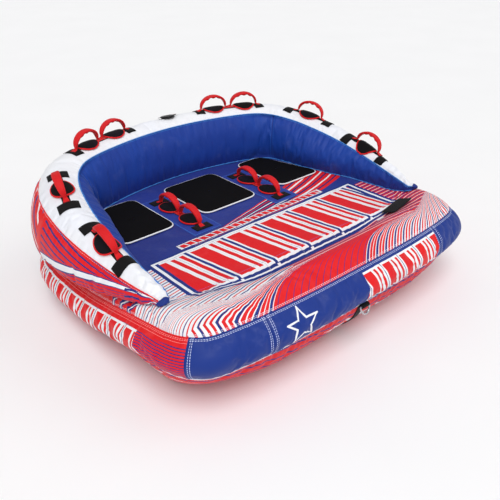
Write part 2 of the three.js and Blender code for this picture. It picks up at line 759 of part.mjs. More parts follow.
function roundedShape(corners, radius) {
  const shape = new THREE.Shape();
  const n = corners.length;
  corners.forEach((corner, i) => {
    const start = toward(corner, corners[(i + n - 1) % n], radius);
    const end = toward(corner, corners[(i + 1) % n], radius);
    if (i === 0) shape.moveTo(...start);
    else shape.lineTo(...start);
    shape.quadraticCurveTo(...corner, ...end);
  });
  shape.closePath();
  return shape;
}
const extrude = (shape, depth, curveSegments) =>
  new THREE.ExtrudeGeometry(shape, { depth, bevelEnabled: false, curveSegments });
function seatPad(name, corners) {
  const geometry = extrude(roundedShape(corners, PAD.radius), PAD.thick, 5);
  put(`seat_pad_${name}`, geometry.translate(0, 0, 1), FINISH.seatPad);
}
// side pads narrow towards the stern
function sidePad(name, sign) {
  const innerX = sign * (PAD.pitch - PAD.halfWidth);
  seatPad(name, [
    [innerX, PAD.halfDepth], [innerX, -PAD.halfDepth],
    [sign * 715, -PAD.halfDepth], [sign * 600, PAD.halfDepth],
  ]);
}
seatPad('centre', [
  [-PAD.halfWidth, PAD.halfDepth], [-PAD.halfWidth, -PAD.halfDepth],
  [PAD.halfWidth, -PAD.halfDepth], [PAD.halfWidth, PAD.halfDepth],
]);
sidePad('right', 1);
sidePad('left', -1);

// ---------- valves ----------
const frame = (xAxis, yAxis, zAxis, origin) => new THREE.Matrix4()
  .makeBasis(...[xAxis, yAxis, zAxis].map(axis => new THREE.Vector3(...axis)))
  .setPosition(...origin);
const lathe = profile =>
  new THREE.LatheGeometry(profile.map(([r, y]) => new THREE.Vector2(r, y)), 18);
const box = (sizes, centre) => new THREE.BoxGeometry(...sizes).translate(...centre);
// stand a geometry at a seat: its Y along the seat's normal, its X along the seat's tangent
function stand(geometry, { origin, normal, tangent }) {
  const zAxis = unit(cross(tangent, normal));
  return geometry.applyMatrix4(frame(cross(normal, zAxis), normal, zAxis, origin));
}
const bore = (seat, radius) => stand(new THREE.CylinderGeometry(radius, radius, 160, 24), seat);

// radius and height round the valve body
const BODY_PROFILE = [
  [14, -34], [19, -34], [19, 0], [42, 0], [42, 3], [38, 5], [29, 5], [29, 1.5],
  [17.5, 1.5], [17.5, -3], [14, -3], [14, -34],
];
// body with a screw cap that has a finger bar
function valve(name, seat, { scale, plugR, flangeR, barLength, barWidth }) {
  const body = lathe(BODY_PROFILE.map(([r, y]) => [r * scale, y]));
  put(`${name}_body`, stand(body, seat), FINISH.valveBody);
  const cap = lathe([
    [0, -2], [plugR, -2], [plugR, 2.2], [flangeR, 2.2], [flangeR, 4.6], [0, 4.6],
  ]);
  const bar = box([barLength, 4, barWidth], [0, 6.4, 0]);
  put(`${name}_cap`, stand(union(cap, bar), seat), FINISH.valveCap);
}
const capTurn = (name, { origin, normal }) =>
  hinge(`${name}_cap`, 'turn', origin, normal, [0, 90]);

// rear chamber valve on the crest of the rim, just to +X of the stern centre
const REAR_VALVE_DISTANCE = 62;
const rearSurface = rimSurface(REAR_VALVE_DISTANCE, crestAt(REAR_VALVE_DISTANCE));
const rearSeat = {
  origin: above(rearSurface, 0, 0, 3.2),
  normal: rearSurface.normal(0, 0),
  tangent: unit(sub(rearSurface.at(30, 0), rearSurface.at(-30, 0))),
};
// lid with a pull tab, hinged on its +X side
function rearValveLid() {
  const { origin, normal, tangent } = rearSeat;
  const hingeZ = 8.2;
  const shell = lathe([[0, 9.6], [40, 9.6], [40, 6], [46, 6], [46, 10.2], [42, 12.6], [0, 13.6]]);
  const tab = box([22, 2.4, 18], [-54, 10, 0]);
  const lug = box([26, 3.6, 12], [50, hingeZ, 0]);
  put('rear_valve_lid', stand(union(shell, tab, lug), rearSeat), FINISH.valveLid);
  const pin = add(add(origin, tangent, 60), normal, hingeZ);
  hinge('rear_valve_lid', 'hinge', pin, unit(cross(normal, tangent)), [0, 150]);
}
valve('rear_valve', rearSeat,
  { scale: 1, plugR: 16.5, flangeR: 28, barLength: 36, barWidth: 6 });
rearValveLid();
capTurn('rear_valve', rearSeat);

// base chamber valve in the valley between the deck and the bow
const BASE_VALVE = [632, -905];
const baseValveNormal = topNormal(...BASE_VALVE);
const baseSeat = {
  origin: add([...BASE_VALVE, topHeight(...BASE_VALVE)], baseValveNormal, 6),
  normal: baseValveNormal,
  tangent: [1, 0, 0],
};
// fabric flap over the valve, hinged on its stern side, and a label to its -X side
function valveFlap() {
  const { origin, normal, tangent } = baseSeat;
  const [halfLength, halfDepth, thick, height] = [88, 52, 2.4, 10.5];
  const sternward = unit(cross(normal, tangent));
  const xAxis = cross(sternward, normal);
  const frameAt = point => frame(xAxis, sternward, normal, point);
  const flap = extrude(roundedShape([
    [-halfLength, -halfDepth], [halfLength, -halfDepth],
    [halfLength, halfDepth], [-halfLength, halfDepth],
  ], 18), thick, 3);
  flap.applyMatrix4(frameAt(add(origin, normal, height)));
  put('base_valve_flap', flap, FINISH.webbing);
  const pin = add(add(origin, normal, height + thick / 2), sternward, halfDepth);
  hinge('base_valve_flap', 'hinge', pin, xAxis, [-100, 0]);

  const label = new THREE.BoxGeometry(52, 30, 1.4);
  label.applyMatrix4(frameAt(add(add(origin, tangent, -128), normal, 13)));
  put('care_label', label, FINISH.label);
}
valve('base_valve', baseSeat,
  { scale: .86, plugR: 14.2, flangeR: 24, barLength: 30, barWidth: 5 });
capTurn('base_valve', baseSeat);
valveFlap();

const baseBore = bore(baseSeat, 19.5);
const rearBore = bore(rearSeat, 22);
put('top_ring_panel', cut(topRing(), baseBore), FINISH.redTop);

// ---------- backrest cover ----------
const restSkin = restSections.map((points, i) => points.map(p => lift(restStations[i], p)));
const restInside = sink(restSkin, normals(restSkin, false), COVER_T);
const restPanel = (first, last) => panel(restSkin, restInside, first, last);
put('backrest_inner_panel', restPanel(0, 3), FINISH.blueCover);
put('backrest_rim_panel', cut(restPanel(3, 7), rearBore), FINISH.whiteRim);
put('backrest_outer_panel', restPanel(7, 11), FINISH.redCover);

// Rings of an arm cap: scale about the middle, reach past the tip of the outer and inner skins
const CAP_RINGS = [[1, 1.2, 1.2], [.93, 9, 7.4], [.72, 17, 15], [.4, 22, 19.8]];

// rounded closing panel on an arm tip
function armCap(tip) {
  const base = restSection(tip).points.map(p => lift(tip, p));
  const centre = centroid(base);
  const beyond = rimAt(tip).along.map(v => v * Math.sign(tip));
  const ring = (scale, reach, clearance) => base.map(point => {
    const [plainX, plainY, z] = mix(centre, point, scale);
    const x = plainX + beyond[0] * reach;
    const y = plainY + beyond[1] * reach;
    return [x, y, Math.max(z, clearance + topHeight(x, y))];
  });
  const mesher = new Mesher();
  const outer = mesher.grid(CAP_RINGS.map(([scale, reach]) => ring(scale, reach, 4)));
  const inner = mesher.grid(CAP_RINGS.map(([scale, , reach]) => ring(scale - .05, reach, 6.6)));
  for (const [i, k] of pairs(CAP_RINGS.length)) {
    mesher.wall(outer[i], outer[k]);
    mesher.wall(inner[i], inner[k], true);
  }
  mesher.fan(outer.at(-1));
  mesher.fan(inner.at(-1), true);
  mesher.wall(outer[0], inner[0], true);
  return mesher.geometry();
}
put('arm_cap_right', armCap(REST_HALF), FINISH.blueCover);
put('arm_cap_left', armCap(-REST_HALF), FINISH.blueCover);

// ---------- bladders: thin-walled air chambers, open at their valve necks ----------
function baseBody(depth) {
  const columns = [0, 1, 2, 3, 4, TOP_SEAM, TOP_SEAM + 2, LOW_SEAM, FLOOR];
  const [skin, skinNormals] = [baseSkin, baseNormals].map(grid =>
    grid.map(row => columns.map(j => row[j])));
  const mesher = new Mesher();
  const ids = mesher.grid(sink(skin, skinNormals, depth));
  mesher.skin(ids, true, false);
  mesher.fill(ids.map(row => row.at(-1)), true);
  mesher.fill(ids.map(row => row[0]), false);
  return mesher.geometry();
}
put('base_bladder', cut(baseBody(BASE_GAP), baseBody(BASE_GAP + BLADDER_T), baseBore),
  FINISH.bladder);

// backrest section closed along the base top and moved inwards with mitred corners
function bladderSection(distance, depth) {
  const { points, width } = restSection(distance);
  const inward = depth * Math.min(1, width / 120);
  const [innerX, innerZ] = points[0];
  const [outerX, outerZ] = points[11];
  const under = [.66, .33].map(share => {
    const outward = lerp(innerX, outerX, share);
    return [outward, topHeight(...planAt(distance, outward)) + 9];
  });
  const over = [2, 3, 5, 6, 8, 9].map(i => points[i]);
  const loop = [[innerX, innerZ + 3], ...over, [outerX, outerZ + 3], ...under];
  const n = loop.length;
  return loop.map((point, i) => {
    const before = unit(sub(point, loop[(i + n - 1) % n]));
    const after = unit(sub(loop[(i + 1) % n], point));
    const normal = unit([before[1] + after[1], -(before[0] + after[0])]);
    const mitre = Math.max(.6, normal[0] * before[1] - normal[1] * before[0]);
    return add(point, normal, inward / mitre);
  });
}
function restBody(depth, shorten) {
  const run = restStations.slice(2, -2);
  return loft(run.map((station, i) => {
    const atEnd = i === 0 || i === run.length - 1;
    const distance = atEnd ? station - Math.sign(station) * shorten : station;
    return bladderSection(distance, depth).map(p => lift(distance, p));
  }));
}
put('backrest_bladder',
  cut(restBody(REST_GAP, 0), restBody(REST_GAP + BLADDER_T + .6, 4), rearBore),
  FINISH.bladder);

// ---------- cover zip across the stern, just above the lower seam ----------
function coverZip() {
  const stern = baseOutline[BASE_STATIONS / 2];
  const [top, bottom] = [.80, 1].map(share => bandPoint(stern, share).slice(1));
  const down = unit(sub(bottom, top));
  const out = [-down[1], down[0]];
  const middle = mix(top, bottom, .5);
  const yAxis = [0, ...down];
  const zAxis = [0, ...out];
  const onBand = (sizes, x, height) => new THREE.BoxGeometry(...sizes)
    .applyMatrix4(frame(cross(yAxis, zAxis), yAxis, zAxis, [x, ...add(middle, out, height)]));
  put('cover_zip_tape', union(onBand([600, 24, 1.4], 0, 1.4), onBand([590, 7, 2.6], 0, 2.6)),
    FINISH.zipTape);
  put('cover_zip_slider',
    union(onBand([22, 13, 5], -275, 7), onBand([34, 6, 1.8], -254, 8.6)), FINISH.zipSlider);
  joints.push({
    name: 'cover_zip_slide', type: 'slide', child: 'cover_zip_slider',
    axis: [1, 0, 0], range: [0, .53],
  });
}
coverZip();

// ---------- tow point under the bow; profiles here are [y, z] on the centre line ----------
const TOW = { strapWidth: 50, eyeOut: 19, eyeR: 11.5, boreR: 8 };
const TOW_RING = { half: 31, depth: 44, wireR: 5 };
const bowStation = baseOutline[0];
const towRun = [
  bandPoint(bowStation, 1),
  ...[.06, .12, .2, .3, .42, .54, .66].map(share => hullPoint(bowStation, share)),
].map(point => point.slice(1));
const towOut = towRun.map((_, i) => {
  const before = towRun[Math.max(i - 1, 0)];
  const after = towRun[Math.min(i + 1, towRun.length - 1)];
  const [dy, dz] = unit(sub(after, before));
  return [dz, -dy];
});
const towEye = add(towRun[0], towOut[0], TOW.eyeOut);

// strap lying on the hull, with an eye at its upper end
function towStrap() {
  const layer = height => towRun.map((point, i) => add(point, towOut[i], height));
  const polygon = points => new THREE.Shape(points.map(p => new THREE.Vector2(...p)));
  const tail = polygon([...layer(2.5), ...layer(6.5).reverse()]);
  const along = unit(sub(towRun[1], towRun[0]));
  const neck = polygon([
    add(towRun[0], towOut[0], 3), add(towRun[1], towOut[0], 3),
    add(towEye, along, 7), add(towEye, along, -7),
  ]);
  const eye = new THREE.Shape().absarc(...towEye, TOW.eyeR, 0, Math.PI * 2);
  // shape x to Y, shape y to Z, depth to X
  const slab = shape => extrude(shape, TOW.strapWidth, 10)
    .translate(0, 0, -TOW.strapWidth / 2)
    .applyMatrix4(frame([0, 1, 0], [0, 0, 1], [1, 0, 0], [0, 0, 0]));
  const eyeBore = new THREE.CylinderGeometry(TOW.boreR, TOW.boreR, 80, 20)
    .rotateZ(Math.PI / 2).translate(0, ...towEye);
  return cut(union(slab(tail), slab(neck), slab(eye)), eyeBore);
}
// D ring: straight bar in the eye, the curve hanging away from it
function towRing() {
  const { half, depth, wireR } = TOW_RING;
  const hang = unit([towOut[0][0] * .35, -1]);
  const path = [];
  for (let i = 0; i <= 12; i++) {
    const angle = Math.PI * i / 12;
    path.push([half * Math.cos(angle), depth * Math.pow(Math.sin(angle), .8)]);
  }
  for (let i = 1; i < 6; i++) path.push([-half + 2 * half * i / 6, 0]);
  const n = path.length;
  return loft(path.map((point, i) => {
    const [dx, dy] = unit(sub(path[(i + 1) % n], path[(i + n - 1) % n]));
    return Array.from({ length: 8 }, (_, k) => {
      const angle = 2 * Math.PI * k / 8;
      const side = wireR * Math.sin(angle);
      const [x, reach] = add(point, [-dy, dx], wireR * Math.cos(angle));
      return [x, ...add(add(towEye, hang, reach), [-hang[1], hang[0]], side)];
    });
  }), true);
}
put('tow_strap', towStrap(), FINISH.webbing);
put('tow_ring', towRing(), FINISH.metalRing);
hinge('tow_ring', 'swing', [0, ...towEye], [1, 0, 0], [-50, 32]);

// ---------- the tube ----------
const ORIGIN = [0, CENTRE_Y, DECK_Z];
const tube = new THREE.Group();
tube.add(...parts);
tube.position.set(...ORIGIN);
tube.userData.joints = joints.map(joint => ({
  ...joint,
  pos: joint.pos ? add(joint.pos, ORIGIN) : undefined,
}));
tube.updateMatrixWorld(true);
export default tube;
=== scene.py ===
# An inflatable three-seat towable: a fabric-covered base tube with a sunken deck, and a backrest
# wrapped round its sides and stern. Metres; the bow points to -y, right is +x, +z is up.
# Cover shapes are laid out in a deck frame whose origin lies at DECK_AT.
import json
import math
from functools import partial
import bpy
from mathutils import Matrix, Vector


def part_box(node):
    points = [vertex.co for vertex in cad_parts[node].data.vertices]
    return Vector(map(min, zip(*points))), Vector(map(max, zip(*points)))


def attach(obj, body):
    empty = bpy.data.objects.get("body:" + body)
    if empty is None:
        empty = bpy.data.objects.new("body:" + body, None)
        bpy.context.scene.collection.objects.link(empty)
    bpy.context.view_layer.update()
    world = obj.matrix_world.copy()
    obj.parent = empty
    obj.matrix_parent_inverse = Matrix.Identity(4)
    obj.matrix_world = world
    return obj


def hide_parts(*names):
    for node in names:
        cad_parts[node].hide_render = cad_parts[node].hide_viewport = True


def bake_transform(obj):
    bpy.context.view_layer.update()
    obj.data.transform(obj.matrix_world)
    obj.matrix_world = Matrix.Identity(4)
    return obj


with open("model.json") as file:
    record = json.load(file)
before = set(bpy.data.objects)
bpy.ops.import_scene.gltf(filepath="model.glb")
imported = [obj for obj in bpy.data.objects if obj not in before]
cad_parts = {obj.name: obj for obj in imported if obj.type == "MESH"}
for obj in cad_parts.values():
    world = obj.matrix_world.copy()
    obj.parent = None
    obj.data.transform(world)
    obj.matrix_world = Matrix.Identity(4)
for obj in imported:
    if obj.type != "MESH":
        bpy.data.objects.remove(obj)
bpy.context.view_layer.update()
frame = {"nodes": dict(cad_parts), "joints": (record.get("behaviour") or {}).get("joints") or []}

from types import SimpleNamespace

import bpy
import numpy as np
from mathutils import Matrix, Vector
from mathutils.bvhtree import BVHTree

NODES = frame["nodes"]
JOINT = {joint["child"]: joint for joint in frame["joints"]}
DECK_AT = np.array([0.0, 0.3069, 0.44])
PI = math.pi
UP = np.array([0.0, 0.0, 1.0])
RIGHT = np.array([1.0, 0.0, 0.0])
STERN = np.array([0.0, 1.0, 0.0])

# ---------------------------------------------------------------- cover tables, right half
# outer top seam of the base, bow to stern: x, y, z
SEAM = [
    (0, -1.172, .012), (.30, -1.170, .012), (.55, -1.158, .010), (.72, -1.137, .006),
    (.845, -1.104, .000), (.912, -1.040, -.006), (.944, -.95, -.018), (.955, -.82, -.036),
    (.957, -.65, -.068), (.957, -.465, -.106), (.957, -.265, -.138), (.955, -.05, -.150),
    (.948, .10, -.150), (.926, .225, -.150), (.862, .350, -.150), (.755, .455, -.150),
    (.60, .530, -.150), (.45, .565, -.150), (.30, .565, -.150), (.15, .565, -.150),
    (0, .565, -.150)]
# edge of the deck, one point for each seam point: x, y
CORE = [
    (0, -.824), (.28, -.8215), (.50, -.817), (.64, -.812), (.73, -.800), (.79, -.775),
    (.82, -.73), (.83, -.65), (.83, -.56), (.82, -.42), (.80, -.24), (.77, -.06), (.745, .07),
    (.71, .19), (.65, .27), (.56, .33), (.45, .37), (.36, .385), (.26, .398), (.13, .408), (0, .41)]
# inner rim seam of the backrest, stern centre to arm tip: x, y, z
RIM = [
    (0, .392, .302), (.2, .378, .302), (.38, .345, .300), (.52, .305, .298), (.62, .262, .294),
    (.69, .200, .286), (.735, .135, .273), (.775, .045, .256), (.805, -.065, .234),
    (.830, -.19, .208), (.845, -.33, .177), (.849, -.47, .144), (.846, -.61, .110),
    (.841, -.72, .084), (.842, -.79, .065), (.855, -.835, .045)]
# height of the top at the bow: share of the way in from the seam, z
BOW_TOP = ([0, .06, .15, .27, .40, .53, .65, .76, .87, 1],
           [.012, .036, .060, .073, .068, .044, .002, -.045, -.050, 0])
BAND_DROP, BAND_BULGE, KEEL = .195, .062, -.44

# backrest section: share of the way from stern centre to arm tip, value there
STATIONS = [0, .25, .40, .50, .565, .65, .73, .81, .92, 1]
WIDTH = (STATIONS, [.245, .250, .268, .262, .248, .220, .188, .152, .105, .060])
FOOT = (STATIONS, [.150, .150, .125, .115, .110, .085, .075, .075, .07, .05])
INNER_FOOT = ([0, .3, .4, .48, .565, .69, .765, .845, .92, 1],
              [-.057, -.052, -.05, -.085, -.105, -.09, -.058, -.038, -.013, 0])
OUTER_LOW = ([0, .4, .565, .73, .81, .92, 1], [-.105, -.105, -.10, -.075, -.05, -.01, 0])
RIM_RISE = ([0, .5, .9, 1], [.034, .034, .028, .012])
ARM_FROM = .55          # from this share on, the backrest rests on the base's side
# least height of each section point above the base there
CLEARANCE = [0, .010, .015, 0, 0, 0, 0, .020, .016, .012, .007, .003]
PANEL_ENDS = (0, 3, 7, 11)      # section points where the inner, rim and outer panels meet

# rows and columns of the two cover grids before refining
BASE_ROWS, RING_COLS, BAND_COLS, HULL_COLS = 420, 22, 15, 27
REST_ROWS, REST_STEPS = 320, 5
TUCK = .745             # distance along the rim from stern centre to the sewn tuck


# ---------------------------------------------------------------- curves
def smoothstep(low, high, value):
    t = np.clip((np.asarray(value, float) - low) / (high - low), 0, 1)
    return t * t * (3 - 2 * t)


def lengths(points, closed=False):
    """Running length along a line of points, back to the start when closed."""
    if closed:
        points = np.vstack([points, points[:1]])
    steps = np.linalg.norm(np.diff(points, axis=0), axis=1)
    return np.concatenate([[0], np.cumsum(steps)])


def padded(points, closed):
    """Points with the neighbours that a cubic needs beyond each end."""
    if closed:
        return np.concatenate([points[-1:], points, points[:2]])
    return np.concatenate([2 * points[:1] - points[1:2], points, 2 * points[-1:] - points[-2:-1]])


def spline(points, t, closed=False):
    """Catmull-Rom curve through the points at parameters 0 to 1."""
    points = np.asarray(points, float)
    count = len(points)
    at = (t % 1.0) * count if closed else np.clip(t, 0, 1) * (count - 1)
    first = np.floor(at).astype(int)
    if not closed:
        first = np.minimum(first, count - 2)
    w = (at - first)[:, None]
    around = padded(points, closed)
    a, b, c, d = (around[first + k] for k in range(4))
    return .5 * ((2 * b) + (c - a) * w + (2 * a - 5 * b + 4 * c - d) * w ** 2
                 + (-a + 3 * b - 3 * c + d) * w ** 3)


def resample(points, count, closed, fine=3000):
    """Points at equal plan distance along the spline, and its plan length."""
    t = np.arange(fine) / fine if closed else np.linspace(0, 1, fine)
    curve = spline(points, t, closed)
    if closed:
        curve = np.vstack([curve, curve[:1]])
    run = lengths(curve[:, :2])
    at = np.linspace(0, run[-1], count + 1)[:-1] if closed else np.linspace(0, run[-1], count)
    columns = [np.interp(at, run, curve[:, k]) for k in range(curve.shape[1])]
    return np.stack(columns, 1), run[-1]


def mirrored(half):
    return [tuple(p) for p in half] + [(-p[0],) + tuple(p[1:]) for p in half[-2:0:-1]]


# ---------------------------------------------------------------- shape of the base
def outline(count):
    """Seam points, matching deck edge points, outward directions and the seam's length."""
    both, length = resample(np.hstack([mirrored(SEAM), mirrored(CORE)]), count, True)
    seam, core = both[:, :3], both[:, 3:]
    along = np.roll(seam[:, :2], -1, 0) - np.roll(seam[:, :2], 1, 0)
    along /= np.linalg.norm(along, axis=1)[:, None]
    return seam, core, np.stack([along[:, 1], -along[:, 0]], 1), length


def top_z(seam, inward):
    """Height of the base's top; inward is 0 at the seam and 1 at the deck edge."""
    x, y, seam_z = np.abs(seam[..., 0]), seam[..., 1], seam[..., 2]
    bow = np.interp(inward, *BOW_TOP)
    corner = (seam_z * (1 - smoothstep(0, 1, inward))
              + .045 * np.sin(PI * np.clip(inward, 0, 1) ** .8))
    side = seam_z * (1 - np.sqrt(np.clip(1 - (1 - inward) ** 2, 0, 1)))
    bow_share = np.where(y < -.9, 1 - smoothstep(.30, .84, x), 0)
    corner_share = smoothstep(-.55, -1.0, y)
    z = side * (1 - corner_share) + corner * corner_share
    return z * (1 - bow_share) + bow * bow_share


def base_grid():
    """Rows run round the outline; columns run deck edge, top seam, low seam, keel."""
    seam, core, outward, length = outline(BASE_ROWS)
    inward = np.linspace(1, 0, RING_COLS)[None, :]
    z = top_z(seam[:, None, :], inward)
    xy = seam[:, None, :2] * (1 - inward[..., None]) + core[:, None, :] * inward[..., None]
    ring = np.concatenate([xy, z[..., None]], 2)

    bow = smoothstep(-.6, -1.1, seam[:, 1])[:, None]
    down = np.linspace(0, 1, BAND_COLS)[None, :]
    flare = .008 * (1 - bow) + .026 * bow
    bulge = BAND_BULGE * np.maximum(np.sin(PI * down), 0) ** .9 + flare * down
    xy = seam[:, None, :2] + outward[:, None, :] * bulge[..., None]
    band = np.concatenate([xy, (seam[:, 2:3] - BAND_DROP * down)[..., None]], 2)

    low = band[:, -1]
    raked = smoothstep(-.85, -1.10, seam[:, 1]) * (1 - smoothstep(.45, .95, np.abs(seam[:, 0])))
    raked = raked[:, None]
    bend = .016 * (low[:, 0] / .7) ** 2
    floor_edge = np.stack([low[:, 0] * .76, np.clip(low[:, 1] * .72, -.66 + bend, .40 - bend)], 1)
    t = (1 - np.cos(np.linspace(0, 1, HULL_COLS) * PI / 2))[None, :]
    fall = ((1 - t) ** 2.4 * (1 - raked)
            + (1 - np.sqrt(np.clip(1 - (1 - t) ** 2.3, 0, 1))) * raked)
    xy = low[:, None, :2] * (1 - t[..., None]) + floor_edge[:, None, :] * t[..., None]
    hull = np.concatenate([xy, (KEEL + (low[:, 2:3] - KEEL) * fall)[..., None]], 2)
    return np.concatenate([ring, band[:, 1:], hull[:, 1:]], 1), length


DENSE_SEAM, DENSE_CORE, _, _ = outline(900)


def top_height(x, y):
    """Height of the base's top under a point; 0 over the deck."""
    span = DENSE_CORE - DENSE_SEAM[:, :2]
    from_x, from_y = x - DENSE_SEAM[:, 0], y - DENSE_SEAM[:, 1]
    share = (from_x * span[:, 0] + from_y * span[:, 1]) / (span ** 2).sum(1)
    inward = np.clip(share, 0, 1)
    i = np.argmin(np.hypot(from_x - span[:, 0] * inward, from_y - span[:, 1] * inward))
    return 0.0 if share[i] >= 1 else float(top_z(DENSE_SEAM[i], inward[i]))


# ---------------------------------------------------------------- shape of the backrest
RIM_LAST = 1440
RIM_POINTS, RIM_LENGTH = resample(RIM[::-1] + [(-x, y, z) for x, y, z in RIM[1:]],
                                  RIM_LAST + 1, False)


def rim_at(s):
    """Rim point, outward direction, share of the way to the tip and direction along the rim,
    at distance s from the stern centre, positive on the right."""
    at = np.clip((RIM_LENGTH / 2 - s) / RIM_LENGTH * RIM_LAST, 0, RIM_LAST)
    i = int(min(math.floor(at), RIM_LAST - 1))
    w = at - i
    point = RIM_POINTS[i] * (1 - w) + RIM_POINTS[i + 1] * w
    along = RIM_POINTS[min(i + 13, RIM_LAST)][:2] - RIM_POINTS[max(i - 12, 0)][:2]
    along = along / np.linalg.norm(along)
    out = np.array([along[1], -along[0]])
    if out[1] + out[0] * np.sign(point[0]) <= 0:
        out = -out
    return point, out, min(1.0, abs(s) / (RIM_LENGTH / 2)), -along


def section(s):
    """Twelve control points (outward, z) from the inner foot over the rim to the outer foot."""
    point, out, share, _ = rim_at(s)
    seam = point[2]
    if share >= ARM_FROM:
        seam = max(seam, top_height(point[0], point[1]) + .027)
    wide, inner, foot, low, rise = (np.interp(share, *table) for table in
                                    (WIDTH, INNER_FOOT, FOOT, OUTER_LOW, RIM_RISE))
    base_z = top_height(*(point[:2] + out * foot)) + .003
    tip = float(smoothstep(.78, .95, share)) * .005
    rows = [
        [inner, .001],
        [inner * 1.08 + .004, .004 + (seam - .004) * .33],
        [inner * .7, .004 + (seam - .004) * .68],
        [0, seam],
        [wide * .13, seam + rise * .72],
        [wide * .34, seam + rise],
        [wide * .56, seam + rise * .45],
        [wide * .78, seam * .95 - .026 * min(1, wide / .15)],
        [wide * .94, seam * .62 + low * .38],
        [wide * .99, seam * .32 + low * .68],
        [wide * .90, seam * .08 + low * .92],
        [foot, max(base_z, low)]]
    if share >= ARM_FROM:
        for i, row in enumerate(rows):
            if i < 3 or i > 6:
                over = top_height(*(point[:2] + out * row[0]))
                row[1] = max(row[1], over + CLEARANCE[i] + tip * (i not in (0, 11)))
    for i, lift in ((7, .004), (8, .007), (9, .005)):
        rows[i][1] += lift * float(smoothstep(.93, 1, share))
    return np.array(rows, float)


def rest_grid():
    """Rows run right tip to left tip; each panel is smoothed apart, so the seams stay sharp."""
    rows = []
    for s in np.linspace(RIM_LENGTH / 2, -RIM_LENGTH / 2, REST_ROWS):
        control = section(s)
        pieces = [spline(control[a:b + 1], np.linspace(0, 1, (b - a) * REST_STEPS + 1))
                  for a, b in zip(PANEL_ENDS[:-1], PANEL_ENDS[1:])]
        curve = np.vstack([pieces[0], pieces[1][1:], pieces[2][1:]])
        point, out, _, _ = rim_at(s)
        xy = point[None, :2] + out[None, :] * curve[:, :1]
        rows.append(np.concatenate([xy, curve[:, 1:]], 1))
    return np.array(rows)


# ---------------------------------------------------------------- mesh helpers
def grid_normals(grid, closed):
    if closed:
        down_rows = np.roll(grid, -1, 0) - np.roll(grid, 1, 0)
    else:
        down_rows = np.gradient(grid, axis=0)
    normal = np.cross(down_rows, np.gradient(grid, axis=1))
    return normal / np.maximum(np.linalg.norm(normal, axis=2)[..., None], 1e-9)


def across_lengths(grid):
    """Running length along each row of a grid."""
    steps = np.linalg.norm(np.diff(grid, axis=1), axis=2)
    return np.concatenate([np.zeros((len(grid), 1)), np.cumsum(steps, 1)], 1)


def mesh_ij(a, b):
    return np.meshgrid(a, b, indexing="ij")


def link(mesh, name):
    ob = bpy.data.objects.new(name, mesh)
    bpy.context.scene.collection.objects.link(ob)
    return ob


class Sheets:
    """One mesh put together from grids of points. closed joins the last row to the first,
    closed_v the last column to the first. UVs default to lengths along the middle lines."""

    def __init__(self):
        self.points, self.faces, self.uvs, self.count = [], [], {}, 0

    def add(self, grid, closed=False, closed_v=False, flip=False, caps=False, uvs=None):
        grid = np.asarray(grid, float)
        rows, cols = grid.shape[:2]
        if uvs is None:
            uvs = {"UVMap": mesh_ij(lengths(grid[:, cols // 2], True),
                                    lengths(grid[rows // 2], True))}
        i, j = mesh_ij(np.arange(rows if closed else rows - 1),
                       np.arange(cols if closed_v else cols - 1))
        corners = [(i, j), (i + 1, j), (i + 1, j + 1), (i, j + 1)]
        if flip:
            corners = corners[::-1]
        quads = np.stack([(a % rows) * cols + b % cols for a, b in corners], -1).reshape(-1, 4)
        self.points.append(grid.reshape(-1, 3))
        self.faces += (quads + self.count).tolist()
        if caps:
            first = [self.count + k for k in range(cols)]
            last = [k + (rows - 1) * cols for k in first]
            self.faces += [first, last[::-1]] if flip else [first[::-1], last]
        for name, (across, down) in uvs.items():
            loops = [np.stack([across[at], down[at]], -1) for at in corners]
            layer = self.uvs.setdefault(name, [])
            layer.append(np.stack(loops, -2).reshape(-1, 2))
            if caps:
                layer.append(np.zeros((2 * cols, 2)))
        self.count += rows * cols
        return self

    def build(self, name):
        mesh = bpy.data.meshes.new(name)
        mesh.from_pydata(np.vstack(self.points).tolist(), [], self.faces)
        for layer, values in self.uvs.items():
            data = np.vstack(values).astype(np.float32).ravel()
            mesh.uv_layers.new(name=layer).data.foreach_set("uv", data)
        mesh.shade_smooth()
        mesh.update()
        return link(mesh, name)


def sheet(name, grid, **options):
    return Sheets().add(grid, **options).build(name)


def stepped_uvs(rows, cols, row_step, col_step):
    return {"UVMap": mesh_ij(np.arange(rows) * row_step, np.arange(cols) * col_step)}


def frames_along(path, closed, up):
    """Sideways and upward directions at each point of a path."""
    if closed:
        along = np.roll(path, -1, 0) - np.roll(path, 1, 0)
    else:
        along = np.gradient(path, axis=0)
    along = along / np.linalg.norm(along, axis=1)[:, None]
    side = np.cross(along, up)
    side /= np.maximum(np.linalg.norm(side, axis=1)[:, None], 1e-9)
    return side, np.cross(side, along)


def swept(path, profile, side, upward, wide=1.0, high=1.0):
    """A grid: the closed profile (sideways, upward) set at each point of the path."""
    side, upward = np.reshape(side, (-1, 1, 3)), np.reshape(upward, (-1, 1, 3))
    wide, high = np.reshape(wide, (-1, 1, 1)), np.reshape(high, (-1, 1, 1))
    return (path[:, None] + side * (profile[None, :, 0:1] * wide)
            + upward * (profile[None, :, 1:2] * high))


def sweep(name, path, profile, up, closed=False):
    run = lengths(path)
    run = np.append(run, run[-1] * (1 + 1 / (len(run) - 1)))
    uvs = {"UVMap": mesh_ij(run, lengths(profile, True))}
    grid = swept(path, profile, *frames_along(path, closed, up))
    return sheet(name, grid, closed=closed, closed_v=True, caps=not closed, uvs=uvs)


def turned(centre, axis, across, profile, segments, swell=1.0):
    """A grid: the profile (radius, height) turned about the axis."""
    turn = np.arange(segments)[:, None, None] / segments * 2 * PI
    spokes = np.cos(turn) * across + np.sin(turn) * np.cross(axis, across)
    radius = (profile[None, :, 0] * swell)[..., None]
    return centre + spokes * radius + axis * profile[None, :, 1:2]


